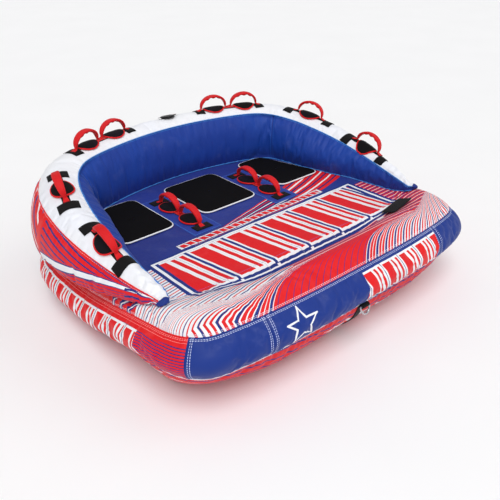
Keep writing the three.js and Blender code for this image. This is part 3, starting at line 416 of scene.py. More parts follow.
def circle(radius, count=10):
    t = np.arange(count) / count * 2 * PI
    return np.stack([radius * np.cos(t), radius * np.sin(t)], 1)


def rounded_rect(width, height, radius, steps=3):
    x, y = width / 2 - radius, height / 2 - radius
    points = []
    for corner_x, corner_y, start in ((x, y, 0), (-x, y, 90), (-x, -y, 180), (x, -y, 270)):
        for k in range(steps + 1):
            t = math.radians(start + 90 * k / steps)
            points.append((corner_x + radius * math.cos(t), corner_y + radius * math.sin(t)))
    return np.array(points)


def edge_rise(us, vs, half_u, half_v, edge=.004):
    """Rises from 0 to 1 over the edge of a rectangle."""
    inset = np.minimum((half_u - np.abs(us))[:, None], (half_v - np.abs(vs))[None, :])
    return np.clip(inset / edge, 0, 1) ** .5


# ---------------------------------------------------------------- shader arithmetic
TREE = None             # node tree of the material being built


class Wire:
    """A shader output that takes part in ordinary arithmetic."""

    def __init__(self, socket):
        self.socket = socket

    __add__ = lambda a, b: math_node("ADD", a, b)
    __radd__ = __add__
    __sub__ = lambda a, b: math_node("SUBTRACT", a, b)
    __rsub__ = lambda a, b: math_node("SUBTRACT", b, a)
    __mul__ = lambda a, b: math_node("MULTIPLY", a, b)
    __rmul__ = __mul__
    __truediv__ = lambda a, b: math_node("DIVIDE", a, b)
    __lt__ = lambda a, b: math_node("LESS_THAN", a, b)
    __gt__ = lambda a, b: math_node("GREATER_THAN", a, b)
    __neg__ = lambda a: math_node("MULTIPLY", a, -1.0)


def put(socket, value):
    if isinstance(value, Wire):
        TREE.links.new(value.socket, socket)
    else:
        socket.default_value = value


def fill(node, values):
    for i, value in enumerate(values):
        put(node.inputs[i], value)
    return Wire(node.outputs[0])


def math_node(kind, *values):
    node = TREE.nodes.new("ShaderNodeMath")
    node.operation = kind
    return fill(node, values)


fract = partial(math_node, "FRACT")
whole = partial(math_node, "FLOOR")
absolute = partial(math_node, "ABSOLUTE")
smaller = partial(math_node, "MINIMUM")
larger = partial(math_node, "MAXIMUM")
sine = partial(math_node, "SINE")
power = partial(math_node, "POWER")
either = larger


def all_of(first, *others):
    for other in others:
        first = first * other
    return first


def between(value, low, high):
    return (value > low) * (value < high)


def near(value, half_width):
    return absolute(value) < half_width


def odd_stripe(phase):
    """1 on every second whole step of the phase, else 0."""
    return fract(whole(phase) * .5) * 2.0


def ease(low, high, value, start=0.0, end=1.0, kind="SMOOTHSTEP"):
    node = TREE.nodes.new("ShaderNodeMapRange")
    node.interpolation_type = kind
    return fill(node, (value, low, high, start, end))


linear = partial(ease, kind="LINEAR")


def mix(where, under, over):
    node = TREE.nodes.new("ShaderNodeMix")
    node.data_type = "RGBA"
    for i, value in ((0, where), (6, under), (7, over)):
        put(node.inputs[i], value)
    return Wire(node.outputs[2])


def position():
    return Wire(TREE.nodes.new("ShaderNodeTexCoord").outputs["Object"])


def split(socket):
    node = TREE.nodes.new("ShaderNodeSeparateXYZ")
    TREE.links.new(socket, node.inputs[0])
    return Wire(node.outputs[0]), Wire(node.outputs[1])


def deck_xy(vector):
    x, y = split(vector.socket)
    return x, y - float(DECK_AT[1])


def uv(name="UVMap"):
    node = TREE.nodes.new("ShaderNodeUVMap")
    node.uv_map = name
    return split(node.outputs[0])


def noise(vector, scale, detail=3.0, rough=.5):
    node = TREE.nodes.new("ShaderNodeTexNoise")
    put(node.inputs["Scale"], scale)
    put(node.inputs["Detail"], detail)
    put(node.inputs["Roughness"], rough)
    TREE.links.new(vector.socket, node.inputs["Vector"])
    return Wire(node.outputs[0])


def combine(x, y):
    return fill(TREE.nodes.new("ShaderNodeCombineXYZ"), (x, y, 0.0))


def srgb(*channels):
    """Linear colour from 0-255 sRGB channels."""
    def decode(c):
        return c / 12.92 if c <= .04045 else ((c + .055) / 1.055) ** 2.4
    return tuple(decode(c / 255) for c in channels) + (1.0,)


RED, BLUE, NAVY = srgb(224, 8, 16), srgb(6, 42, 126), srgb(20, 30, 106)
LIGHT_BLUE, DEEP_BLUE = srgb(58, 128, 205), srgb(10, 52, 140)
WHITE, BLACK, PINK = srgb(238, 239, 243), srgb(4, 3, 4), srgb(250, 150, 150)
PALE_THREAD = srgb(205, 215, 245)
SOIL, BLEACH = (.02, .02, .06, 1), (1, 1, 1, 1)


def material(name, colour, rough=.5, bump=None, sheen=.08, spec=.32, metal=0.0):
    """colour and bump build nodes; bump gives a height in metres; rough does either."""
    global TREE
    made = bpy.data.materials.new(name)
    made.use_nodes = True
    TREE = made.node_tree
    shader = TREE.nodes["Principled BSDF"]
    put(shader.inputs["Base Color"], colour())
    put(shader.inputs["Roughness"], rough() if callable(rough) else rough)
    put(shader.inputs["Metallic"], metal)
    shader.inputs["Specular IOR Level"].default_value = spec
    shader.inputs["Sheen Weight"].default_value = sheen
    shader.inputs["Sheen Roughness"].default_value = .4
    if bump:
        node = TREE.nodes.new("ShaderNodeBump")
        node.inputs["Strength"].default_value = 1.0
        node.inputs["Distance"].default_value = 1.0
        put(node.inputs["Height"], bump())
        TREE.links.new(node.outputs[0], shader.inputs["Normal"])
    return made


def ribs(along, pitch):
    return sine(along * (2 * PI / pitch))


def weave(thread=.00004, wrinkle=.0012, scale=9.0):
    """Bump of woven cloth: thread height, wrinkle height and wrinkle scale."""
    def height():
        vector = position()
        across, down = uv()
        threads = (ribs(across, .0026) + ribs(down, .0026)) * thread
        return (threads + noise(vector, scale, detail=4.0, rough=.55) * wrinkle
                + noise(vector, scale=45.0, detail=2.0) * (wrinkle * .18))
    return height


def cloth_rough():
    return linear(.3, .7, noise(position(), scale=14.0), .50, .66)


def faded(c, soil=.10, bleach=.0225):
    """Soiled and bleached patches, so that no area is one flat colour."""
    vector = position()
    dirt = ease(.40, .80, noise(vector, scale=3.0, detail=5.0, rough=.6))
    c = mix(dirt * soil, c, SOIL)
    worn = ease(.55, .8, noise(vector, scale=11.0, detail=4.0, rough=.6))
    return mix(worn * bleach, c, BLEACH)


def stitch(c, distance, along, at, colour, width=.0011, second=None):
    """Dashed thread at one distance from a seam, and a second row where asked."""
    rows = near(distance - at, width)
    if second:
        rows = either(rows, near(distance - second, width))
    return mix(rows * (fract(along / .011) < .68), c, colour)


# ---------------------------------------------------------------- printed graphics
def bars(c, across, up, period, height, low, high, slant=.30, outline=.011):
    """Slanted bars, one broad and two narrow, outlined in white over an offset blue shadow."""
    inside = between(across, low, high)

    def block(across, up, grow):
        at = fract((across + up * slant) / period) * period
        tall = between(up, 0.0 - grow, height + grow)
        hit = near(at - period * .27, period * .19 + grow)
        for centre in (.62, .84):
            hit = either(hit, near(at - period * centre, period * .052 + grow))
        return hit * tall

    c = mix(inside * block(across - .009, up + .011, outline), c, BLUE)
    c = mix(inside * block(across, up, outline), c, WHITE)
    return mix(inside * block(across, up, 0.0), c, RED)


def star(c, across, up, radius):
    """Thin five-pointed star outline."""
    fifth = 2 * PI / 5
    angle = math_node("ARCTAN2", across, up)
    reach = math_node("SQRT", across * across + up * up)
    turn = absolute(fract(angle / fifth + .5) - .5) * fifth
    # the edge runs from the tip (radius, 0) to the inner corner
    inner_x, inner_y = radius * .42 * math.cos(PI / 5), radius * .42 * math.sin(PI / 5)
    edge = math.hypot(inner_y, radius - inner_x)
    normal_x, normal_y = inner_y / edge, (radius - inner_x) / edge
    x, y = reach * math_node("COSINE", turn), reach * sine(turn)
    off_edge = (x - radius) * normal_x + (y - 0.0) * normal_y
    return mix(all_of(near(off_edge, .0045), reach < radius * 1.06), c, WHITE)


def bow_colour(x, y):
    """Lines that start square to the bow seam and bend away to the right."""
    seam_y = ease(.55, .96, absolute(x), -1.172, -1.03)
    inward = larger(y - seam_y, 0.0)
    share = smaller(inward / .135, .985)
    bent = x - inward * power(1.0 - share, -.45)
    phase = bent / .0235
    at = fract(phase)
    odd = odd_stripe(phase)
    third = fract(whole(phase) / 3.0)
    redness = ease(-1.0, -.60, bent, .26, .80) - ease(.0, .5, bent) * .28
    c = mix(at < redness, WHITE, RED)
    c = mix(all_of(at < (redness * .9), third > .55, bent < .9), c, BLUE)
    blue_lines = mix(all_of(at < .17, odd > .5), RED, BLUE)
    middle = ease(-.60, -.52, bent) * (1.0 - ease(-.02, .10, bent))
    c = mix(middle > .5, c, blue_lines)
    # behind the crest the lines run along the deck's edge
    across = y - linear(-.95, -.3, x, -.11, .0)
    at = fract(across / .0185)
    odd = odd_stripe(across / .0185)
    back = mix(at < ease(-.85, -.1, x, .30, .62), WHITE, mix(odd > .5, RED, BLUE))
    at = fract(across / .031)
    far = mix(all_of(at > .46, at < .60), mix(at < .22, RED, BLUE), WHITE)
    back = mix(x > -.30, back, far)
    return mix(inward > .131, c, back)


def deck_colour(x, y):
    c = mix(noise(combine(x, y), scale=2.2), NAVY, srgb(34, 58, 150))
    # fan of stripes from the left end of the bars up to the right wall
    bend = power(larger(x - .25, 0.0), 2.0) * .30
    rise = (y + .475 - bend) / (x + .53)
    phase = rise / .030
    at, odd = fract(phase), odd_stripe(phase)
    fan = all_of(rise > -.02, rise < .262, x > -.50)
    stripes = mix(at < .36, NAVY, mix(odd > .5, WHITE, RED))
    strong = mix(at < ease(.2, .7, x, .42, .70), mix(odd > .5, WHITE, NAVY), RED)
    stripes = mix(ease(.25, .45, x) > .5, stripes, strong)
    c = mix(fan * (rise > .03), c, stripes)
    c = mix(all_of(near(rise - .255, .008), x > -.48), c, RED)
    # row of small dashes: red on white on navy
    band = all_of(near(y + .418, .026), near(x, .52))
    at = fract((x + y * .35) / .043)
    dashes = all_of(near(y + .418, .017), at < .74, near(x, .50))
    outlines = all_of(near(y + .418, .024), at < .90, near(x, .515))
    c = mix(band, c, NAVY)
    c = mix(outlines, c, WHITE)
    c = mix(dashes, c, RED)
    # bow print, then a framed box with the row of big bars
    front = bow_colour(x, y)
    c = mix(either(y < -.60, all_of(y < -.50, near(x, .72))
                   if False else all_of(y < -.50, absolute(x) > .72)), c, front)
    for half, rear, fore, colour in ((.735, -.452, -.878, BLUE), (.716, -.466, -.862, WHITE),
                                     (.700, -.480, -.848, BLUE)):
        c = mix(all_of(near(x, half), y < rear, y > fore), c, colour)
    return bars(c, x + .70, y + .832, period=.2335, height=.338, low=.018, high=1.375,
                slant=.16, outline=.013)


def deck_print():
    x, y = deck_xy(position())
    along, inward = uv()
    c = stitch(deck_colour(x, y), inward, along, at=.012, colour=srgb(90, 130, 215))
    return faded(c, soil=.12)


def ring_print():
    x, y = deck_xy(position())
    along, _ = uv()
    _, from_seam = uv("seam2")
    c = bow_colour(x, y)
    at = fract((x * .8 + y * .5) / .036)
    side = mix(all_of(at > .56, at < .70), mix(at < .42, BLUE, RED), WHITE)
    c = mix(y > -.70, c, side)
    c = mix(all_of(y < -.452, near(x, .735), y > -.878), c, deck_colour(x, y))
    c = mix(y > -.5, c, mix(from_seam < .05, BLUE, RED))
    c = stitch(c, from_seam, along, at=.007, colour=srgb(225, 225, 240), width=.0010,
               second=.013)
    return faded(c, soil=.08, bleach=.027)


def band_print(kind):
    """kind is blue, bow or side."""
    def colour():
        vector = position()
        x, y = deck_xy(vector)
        along, from_low = uv()
        from_end, from_top = uv("seam2")
        if kind == "side":
            at = fract((from_top * 2.2 + y * .10) / .028)
            c = mix(between(from_top, .045, .26), RED, mix(at < .35, RED, BLUE))
            c = bars(c, -y + .02, .238 - from_top - .03, period=.138, height=.150,
                     low=-.44, high=.80, slant=-.12)
            c = mix(between(from_top, .0255, .0270), c, PINK)
        else:
            c = mix(noise(vector, scale=3.0), BLUE, DEEP_BLUE)
        if kind == "bow":
            c = star(c, x + .44, .112 - from_top, .088)
            c = bars(c, x - .02, .215 - from_top - .03, period=.135, height=.145,
                     low=-.03, high=.56)
        thread = PINK if kind == "side" else PALE_THREAD
        c = stitch(c, from_top, along, at=.008, colour=thread, second=.014)
        c = stitch(c, from_low, along, at=.008, colour=srgb(190, 200, 240))
        if kind != "side":
            c = stitch(c, from_end, from_top, at=.010, colour=PALE_THREAD, second=.018)
        return faded(c, bleach=.0315)
    return colour


def hull_print():
    x, y = deck_xy(position())
    along, down = uv()
    drift = noise(combine(x * .6, y * .6), scale=1.2) * .25
    at = fract((down * 1.0 + sine(x * 3.0 + y * 2.0) * .05 + drift) / .052)
    c = mix(at < .20, RED, BLUE)
    off_swoosh = absolute(down - .10 - sine(x * 3.4 + .4) * .05)
    swoosh_width = .020 * larger(sine(x * 5.0 + 1.2), 0.0)
    c = mix(all_of(off_swoosh < swoosh_width, y < -.6), c, WHITE)
    c = mix(ease(.42, .5, down) > .5, c, BLUE)
    c = stitch(c, down, along, at=.009, colour=srgb(200, 205, 240))
    return faded(c, soil=.14)


def inner_print():
    along, up = uv()
    rim_run, from_rim = uv("seam2")
    blend = ease(.3, .7, noise(position(), scale=2.4))
    c = mix(blend, srgb(6, 62, 158), srgb(14, 54, 148))
    # painted shade: the wall fades to navy towards its foot, in the corner where it meets the deck
    c = mix(ease(.12, .0, up) * .55, c, NAVY)
    c = stitch(c, from_rim, along, at=.007, colour=srgb(60, 140, 220), width=.0010)
    c = stitch(c, absolute(absolute(rim_run) - TUCK), up, at=.010, colour=srgb(50, 110, 200),
               width=.0010)
    c = mix(near(absolute(rim_run) - TUCK, .0016), c, srgb(20, 40, 110))
    return faded(c)


def rim_print():
    along, from_inner = uv()
    _, from_outer = uv("seam2")
    blend = ease(.35, .75, noise(position(), scale=4.0, detail=4.0))
    c = mix(blend, WHITE, srgb(236, 238, 246))
    for distance in (from_inner, from_outer):
        c = stitch(c, distance, along, at=.006, colour=srgb(215, 220, 232), width=.0009)
    return faded(c, soil=.03, bleach=.009)


def outer_print():
    along, up = uv()
    rim_run, from_rim = uv("seam2")
    a = absolute(rim_run)               # distance along the rim from the stern centre
    h = up / (up + from_rim)            # share of the height
    at = fract((h * 1.0 + sine(a * 2.0) * .05) / .085)
    c = mix(all_of(at < .22, h < .62, a > 1.15), RED, BLUE)
    # diagonal stripes at the stern and rear corners
    at = fract((a * .9 + h * .33) / .052)
    odd = odd_stripe((a * .9 + h * .33) / .052)
    diagonal = mix(at < .30, RED, mix(odd > .5, WHITE, BLUE))
    diagonal = mix(h < .45, diagonal, mix(at < .55, RED, BLUE))
    c = mix(a < .98, c, diagonal)
    # white sweep edged in blue, running forward under the rim
    off_sweep = absolute(h - .46 - (a - 1.05) * .62)
    c = mix(all_of(off_sweep < .075, a > 1.0, a < 1.72), c, BLUE)
    c = mix(all_of(off_sweep < .052, a > 1.0, a < 1.76), c, WHITE)
    above = all_of(h > (.55 + (a - 1.05) * .62), a > 1.03, a < 1.74)
    stripes = mix(fract((h * .8 + a * .30) / .075) < .28, RED, BLUE)
    c = mix(all_of(above, off_sweep > .075), c, stripes)
    # edging along the foot
    c = mix(up < .014, c, BLUE)
    c = mix(between(up, .020, .026), c, WHITE)
    # waves at the arm tips
    tip = a > (RIM_LENGTH / 2 - .20)
    c = mix(all_of(tip, fract((h + sine(a * 60.0) * .035) / .26) < .30), c, BLUE)
    c = stitch(c, from_rim, along, at=.007, colour=srgb(235, 180, 180), width=.0009)
    return faded(c, soil=.12)


# ---------------------------------------------------------------- plain materials
def plain(colour, soil=.1, bleach=.0225):
    return lambda: faded(colour, soil, bleach)


def webbing_colour():
    across, _ = uv()
    c = mix(fract(across / .0045) < .5, BLACK, srgb(13, 11, 14))
    dust = ease(.6, .8, noise(position(), scale=30.0))
    return mix(dust * .05, c, srgb(100, 100, 105))


def webbing_bump():
    across, down = uv()
    return ribs(across, .0045) * .00022 + ribs(down, .003) * .00012


def grip_colour():
    across, _ = uv()
    c = mix(fract(across / .0038) < .5, srgb(224, 10, 20), srgb(200, 6, 16))
    worn = ease(.55, .85, noise(position(), scale=22.0, detail=4.0))
    return mix(worn * .22, c, srgb(110, 8, 18))


def grip_bump():
    across, down = uv()
    return (ribs(across, .0038) * .00016 + ribs(down, .003) * .00010
            + noise(position(), scale=60.0) * .0008)


def foam_colour():
    vector = position()
    specks = ease(.62, .70, noise(vector, scale=420.0, detail=1.0))
    c = mix(specks, srgb(3, 2, 3), srgb(15, 11, 13))
    worn = ease(.5, .8, noise(vector, scale=6.0, detail=4.0))
    return mix(worn * .35, c, srgb(14, 12, 14))


def foam_bump():
    """Diamond pattern with a fine and a broad unevenness."""
    vector = position()
    x, y = deck_xy(vector)
    diamond = absolute(fract((x + y) / .009) - .5) + absolute(fract((x - y) / .009) - .5)
    return (ease(.25, .6, diamond) * .0006 + noise(vector, scale=300.0, detail=2.0) * .0003
            + noise(vector, scale=12.0) * .0012)


def guard_bump():
    vector = position()
    return noise(vector, scale=240.0, detail=2.0) * .0005 + noise(vector, scale=30.0) * .0012


def plastic_colour():
    blend = ease(.5, .8, noise(position(), scale=60.0, detail=4.0))
    return mix(blend, srgb(16, 16, 18), srgb(44, 44, 48))


def plastic_bump():
    return noise(position(), scale=900.0, detail=2.0) * .00012


def pvc_colour():
    return mix(noise(position(), scale=8.0), srgb(120, 128, 134), srgb(146, 152, 156))


def pvc_bump():
    return noise(position(), scale=120.0, detail=2.0) * .0004


def steel_colour():
    blend = noise(position(), scale=90.0, detail=4.0)
    return mix(blend, srgb(170, 172, 176), srgb(210, 212, 216))


def steel_rough():
    return linear(.3, .7, noise(position(), scale=120.0), .18, .38)


def label_colour():
    """Grey lines on white."""
    across, down = uv()
    c = mix(noise(position(), scale=40.0), WHITE, srgb(228, 228, 232))
    lines = all_of(fract(down / .006) < .35, between(across, .008, .040),
                   between(down, .006, .022))
    return mix(lines, c, srgb(150, 152, 160))


PATCH_HALF = (.262, .092)       # half length and half width of a deck reinforcement


def patch_colour():
    across, down = uv()
    c = mix(noise(position(), scale=5.0), srgb(34, 54, 146), srgb(30, 62, 156))
    edge = smaller(smaller(across, 2 * PATCH_HALF[0] - across),
                   smaller(down, 2 * PATCH_HALF[1] - down))
    c = stitch(c, edge, across + down, at=.006, colour=LIGHT_BLUE, width=.0013)
    return faded(c, soil=.12)


def zip_colour():
    across, _ = uv()
    return mix(fract(across / .004) < .5, srgb(14, 14, 16), srgb(50, 50, 54))


def zip_bump():
    across, _ = uv()
    return (fract(across / .004) < .5) * .0008


def cloth(name, colour, bump=weave()):
    return material(name, colour, rough=cloth_rough, bump=bump)


def piping(name, colour, rough=.45):
    return material(name, colour, rough=rough, bump=weave(thread=.00003, wrinkle=.0003))


DECK = cloth("print_deck", deck_print, weave(wrinkle=.0010))
RING = cloth("print_ring", ring_print)
BAND_BLUE = cloth("print_band_blue", band_print("blue"))
BAND_BOW = cloth("print_band_bow", band_print("bow"))
BAND_SIDE = cloth("print_band_side", band_print("side"))
HULL = cloth("print_hull", hull_print)
INNER = cloth("print_inner", inner_print, weave(wrinkle=.0022, scale=6.0))
RIM_CLOTH = cloth("print_rim", rim_print, weave(wrinkle=.0018, scale=6.0))
OUTER = cloth("print_outer", outer_print)
CAP = cloth("cap_blue", plain(BLUE, soil=.15, bleach=.036))
PIPE_LIGHT = piping("piping_light_blue", plain(LIGHT_BLUE, bleach=.045))
PIPE_WHITE = piping("piping_white", plain(WHITE, soil=.05, bleach=.009))
PIPE_RED = piping("piping_red", plain(RED, soil=.12), rough=.5)
PIPE_BLUE = piping("piping_blue", plain(BLUE, soil=.12), rough=.5)
WEBBING = material("webbing_black", webbing_colour, .76, webbing_bump, sheen=.06, spec=.2)
GRIP = material("grip_red", grip_colour, .62, grip_bump)
FOAM = material("eva_black", foam_colour, .84, foam_bump, sheen=.0, spec=.13)
GUARD = material("guard_black", plain(BLACK, soil=.2, bleach=.009), .78, guard_bump,
                 sheen=.04, spec=.18)
PLASTIC = material("moulded_black", plastic_colour, .38, plastic_bump, sheen=0, spec=.5)
PVC = material("bladder_pvc", pvc_colour, .35, pvc_bump, sheen=0)
STEEL = material("steel", steel_colour, steel_rough, plastic_bump, sheen=0, metal=1.0)
LABEL = material("label_white", label_colour, .55, weave(thread=.00003, wrinkle=.0004))
PATCH = cloth("deck_patch", patch_colour, weave(wrinkle=.0006))
ZIP = material("zip_teeth", zip_colour, .45, zip_bump, sheen=0)


def finish(ob, surface, slot, *replaced, body="tube"):
    ob.data.materials.clear()
    ob.data.materials.append(surface)
    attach(ob, body)
    if replaced:
        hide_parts(*replaced)


# ---------------------------------------------------------------- handles and valves in the CAD
def unit(vector):
    return vector / np.linalg.norm(vector)


def square_to(vector, axis):
    """Unit part of a vector at right angles to a unit axis."""
    return unit(vector - axis * (vector @ axis))


def body_joint(child):
    joint = JOINT[child]
    return np.array(joint["pos_m"], float), unit(np.array(joint["axis"], float))


def node_points(name):
    mesh = NODES[name].data
    values = np.zeros(len(mesh.vertices) * 3)
    mesh.vertices.foreach_get("co", values)
    return values.reshape(-1, 3)


def read_handle(name, grips):
    """A handle's frame (out of the cover, along, across) and those of its grips."""
    made = []
    for kid in [f"{name}_{i + 1}" for i in range(grips)] if grips == 2 else [name]:
        pos, axis = body_joint(kid)
        out = square_to(node_points("grip_" + kid).mean(0) - pos, axis)
        made.append(SimpleNamespace(name=kid, pos=pos, axis=axis, out=out,
                                    across=np.cross(out, axis)))
    centre = np.mean([grip.pos for grip in made], 0)
    out = unit(np.mean([grip.out for grip in made], 0))
    along = square_to(made[1].pos - made[0].pos if grips == 2 else made[0].axis, out)
    return SimpleNamespace(
        name=name, grips=made, centre=centre, out=out, along=along, across=np.cross(out, along),
        places=[float((grip.pos - centre) @ along) for grip in made],
        half=.205 if grips == 2 else .142)


HANDLES = [read_handle(name, grips) for name, grips in (
    ("rear_left", 2), ("rear_right", 2), ("deck_left", 2), ("deck_right", 2),
    ("arm_left_rear", 1), ("arm_left_front", 1), ("arm_right_rear", 1), ("arm_right_front", 1))]
REAR_VALVE, REAR_AXIS = body_joint("rear_cap")
BASE_VALVE, BASE_AXIS = body_joint("base_cap")

# places where the cover keeps the CAD's surface: centre, direction, half length, half width
HELD = [(h.centre - DECK_AT, h.along, .30 if len(h.grips) == 2 else .20, .085) for h in HANDLES]
HELD += [(REAR_VALVE - DECK_AT, RIGHT, .09, .07), (BASE_VALVE - DECK_AT, RIGHT, .13, .09)]


def freedom(grid):
    """1 where the cover may move, near 0 under handles and valves."""
    free = np.ones(grid.shape[:2])
    for centre, direction, half, width in HELD:
        offset = grid - centre
        along = offset @ direction
        aside = np.sqrt(np.maximum((offset ** 2).sum(2) - along ** 2, 0))
        hold = np.exp(-(along / half) ** 6 - (aside / width) ** 4)
        free = np.minimum(free, 1 - .93 * hold)
    return free[..., None]


# ---------------------------------------------------------------- inflating the covers
def simulate(name, grid, closed, pinned, growth, pressure, limit, frames=20):
    """Swell the cloth under pressure; no point moves further than the limit."""
    ob = sheet(name, grid + DECK_AT, closed=closed, flip=True, uvs={})
    ob.vertex_groups.new(name="pin").add(np.flatnonzero(pinned).tolist(), 1.0, "REPLACE")
    cloth_mod = ob.modifiers.new("Cloth", "CLOTH")
    settings = cloth_mod.settings
    for key, value in dict(
            quality=6, mass=.25, vertex_group_mass="pin", pin_stiffness=1.0,
            tension_stiffness=30, compression_stiffness=30, shear_stiffness=12,
            bending_stiffness=1.2, tension_damping=12, compression_damping=12, air_damping=2.0,
            shrink_min=growth, use_pressure=True, uniform_pressure_force=pressure).items():
        setattr(settings, key, value)
    settings.effector_weights.gravity = 0
    cloth_mod.collision_settings.use_self_collision = False
    cloth_mod.collision_settings.use_collision = False
    cloth_mod.point_cache.frame_start = 1
    cloth_mod.point_cache.frame_end = frames
    scene = bpy.context.scene
    for number in range(1, frames + 1):
        scene.frame_set(number)
    mesh = ob.evaluated_get(bpy.context.evaluated_depsgraph_get()).to_mesh()
    values = np.zeros(len(mesh.vertices) * 3)
    mesh.vertices.foreach_get("co", values)
    move = values.reshape(grid.shape) - DECK_AT - grid
    bpy.data.objects.remove(ob, do_unlink=True)
    scene.frame_set(1)
    size = np.linalg.norm(move, axis=2)[..., None]
    return grid + move * (np.tanh(size / limit) * limit / np.maximum(size, 1e-9))


def doubled(points, closed):
    """A cubic midpoint put between each two points."""
    near_points = padded(points, closed)
    middle = (9 * (near_points[1:-2] + near_points[2:-1]) - near_points[:-3]
              - near_points[3:]) / 16
    out = np.zeros((len(points) + len(middle),) + points.shape[1:])
    out[::2] = points
    out[1::2] = middle
    return out


def refine(grid, closed, creases):
    """Double a grid both ways, keeping the creases sharp."""
    columns = np.swapaxes(doubled(grid, closed), 0, 1)
    cuts = [0, *creases, len(columns) - 1]
    pieces = [doubled(columns[a:b + 1], False) for a, b in zip(cuts[:-1], cuts[1:])]
    return np.swapaxes(np.concatenate([pieces[0]] + [p[1:] for p in pieces[1:]]), 0, 1)


def gathers(s, wavelengths, seed):
    random = np.random.default_rng(seed)
    total = 0
    for wavelength, size in zip(wavelengths, (1, .7, .5, .35)):
        total = total + size * np.sin(2 * PI * s / wavelength + random.uniform(0, 2 * PI))
    return total / 2.0


def pucker(grid, closed, seams, length, seed, height, reach):
    """Gathers that run square to each seam and die out away from it."""
    normals = grid_normals(grid, closed)
    s = (np.arange(len(grid)) * length / len(grid))[:, None]
    wavelengths = length / np.round(length / np.array([.062, .041, .095, .031]))
    move = np.zeros(grid.shape[:2])
    run = across_lengths(grid)
    for i, seam in enumerate(seams):
        away = np.abs(run - run[:, seam:seam + 1])
        move += (gathers(s, wavelengths, seed + i) * height
                 * np.exp(-(away / reach) ** 1.2) * (1 - np.exp(-(away / .008) ** 2)))
    puckered = grid + normals * move[..., None]
    return grid + (puckered - grid) * freedom(grid)


# seam columns, and the rows where the band is cut, in the unrefined grids
top_seam = RING_COLS - 1
low_seam = top_seam + BAND_COLS - 1
inner_seam, outer_seam = PANEL_ENDS[1] * REST_STEPS, PANEL_ENDS[2] * REST_STEPS
band_cuts = [round(k / 56 * BASE_ROWS) for k in (5, 8, 22)]

base, BASE_LENGTH = base_grid()
rest = rest_grid()
# the print is laid out on the unwrinkled cloth
BASE_FLAT = refine(base, True, (top_seam, low_seam))
REST_FLAT = refine(rest, False, (inner_seam, outer_seam))

pins = np.zeros(base.shape[:2], bool)
pins[:, [0, top_seam, low_seam, base.shape[1] - 1]] = True
pins |= base[..., 2] < KEEL + .008
for cut in band_cuts:
    pins[[cut, BASE_ROWS - cut], top_seam:low_seam + 1] = True
swollen = simulate("sim_base", base, True, pins, growth=-.022, pressure=3.0, limit=.012)
base = base + (swollen - base) * freedom(base)
base[..., 2] = np.maximum(base[..., 2], KEEL)
pins = np.zeros(rest.shape[:2], bool)
pins[:, [0, inner_seam, outer_seam, rest.shape[1] - 1]] = True
pins[[0, -1]] = True
swollen = simulate("sim_rest", rest, False, pins, growth=-.028, pressure=3.4, limit=.013)
rest = rest + (swollen - rest) * freedom(rest)

base = refine(base, True, (top_seam, low_seam))
rest = refine(rest, False, (inner_seam, outer_seam))
# the same seams and cuts in the refined grids
top_seam, low_seam, inner_seam, outer_seam = (
    2 * column for column in (top_seam, low_seam, inner_seam, outer_seam))
band_cuts = [2 * cut for cut in band_cuts]
ROWS = len(base)
REST_RUN = np.linspace(RIM_LENGTH / 2, -RIM_LENGTH / 2, len(rest))

base = pucker(base, True, (0, top_seam, low_seam), BASE_LENGTH, seed=11, height=.0030,
              reach=.042)
rest = pucker(rest, False, (0, inner_seam, outer_seam), RIM_LENGTH, seed=31, height=.0034,
              reach=.050)
# a shallow tuck down each side of the inner panel
inner_share = np.clip(np.arange(rest.shape[1]) / inner_seam, 0, 1)
dent = (np.exp(-((np.abs(REST_RUN) - TUCK) / .009) ** 2)[:, None]
        * np.sin(inner_share * PI)[None, :] ** .5)
dent[:, inner_seam + 1:] = 0
rest = rest + grid_normals(rest, False) * (dent * .005)[..., None]


# ---------------------------------------------------------------- cover panels
def panel(name, grid, flat, along, surface, slot, replaced, closed=False, reverse=False,
          second=None):
    """UVMap holds length along and distance from one edge; seam2 a second length along
    and distance from the other edge."""
    near_edge = across_lengths(flat)
    far_edge = near_edge[:, -1:] - near_edge
    if reverse:
        near_edge, far_edge = far_edge, near_edge
    if closed:
        near_edge = np.vstack([near_edge, near_edge[:1]])
        far_edge = np.vstack([far_edge, far_edge[:1]])
    second = along if second is None else second
    columns = grid.shape[1]
    uvs = {"UVMap": (np.repeat(along[:, None], columns, 1), near_edge),
           "seam2": (np.repeat(second[:, None], columns, 1), far_edge)}
    ob = sheet(name, grid + DECK_AT, closed=closed, flip=True, uvs=uvs)
    finish(ob, surface, slot, replaced)


BASE_RUN = np.arange(ROWS + 1) * BASE_LENGTH / ROWS


def sunken_deck(columns=46):
    edge = base[:, 0]
    centre = np.array([0, -.2, 0.])
    size = np.linspace(1, .02, columns)[:, None, None]
    grid = np.swapaxes(centre + (edge - centre)[None] * size, 0, 1)
    inward = 1 - size[:, 0, 0][None, :]
    ripple = (np.sin(grid[..., 0] * 41 + 1.3 * np.sin(grid[..., 1] * 23))
              * np.sin(grid[..., 1] * 37 + .8))
    grid[..., 2] = (edge[:, None, 2] * (1 - inward) ** 2 - .0006
                    - .0012 * (1 + ripple) * np.clip(inward * 8, 0, 1))
    run = across_lengths(grid)
    uvs = {"UVMap": (np.repeat(BASE_RUN[:, None], columns, 1), np.vstack([run, run[:1]]))}
    ob = sheet("cover_deck", grid + DECK_AT, closed=True, uvs=uvs)
    finish(ob, DECK, "cover_blue", "deck_panel")
    return grid


def band(place, start, end, surface, slot):
    rows = np.arange(start, end + 1)
    along = rows * BASE_LENGTH / ROWS
    columns = slice(top_seam, low_seam + 1)
    panel("cover_band_" + place, base[rows % ROWS][:, columns],
          BASE_FLAT[rows % ROWS][:, columns], along, surface, slot, "band_" + place,
          reverse=True, second=np.minimum(along - along[0], along[-1] - along))


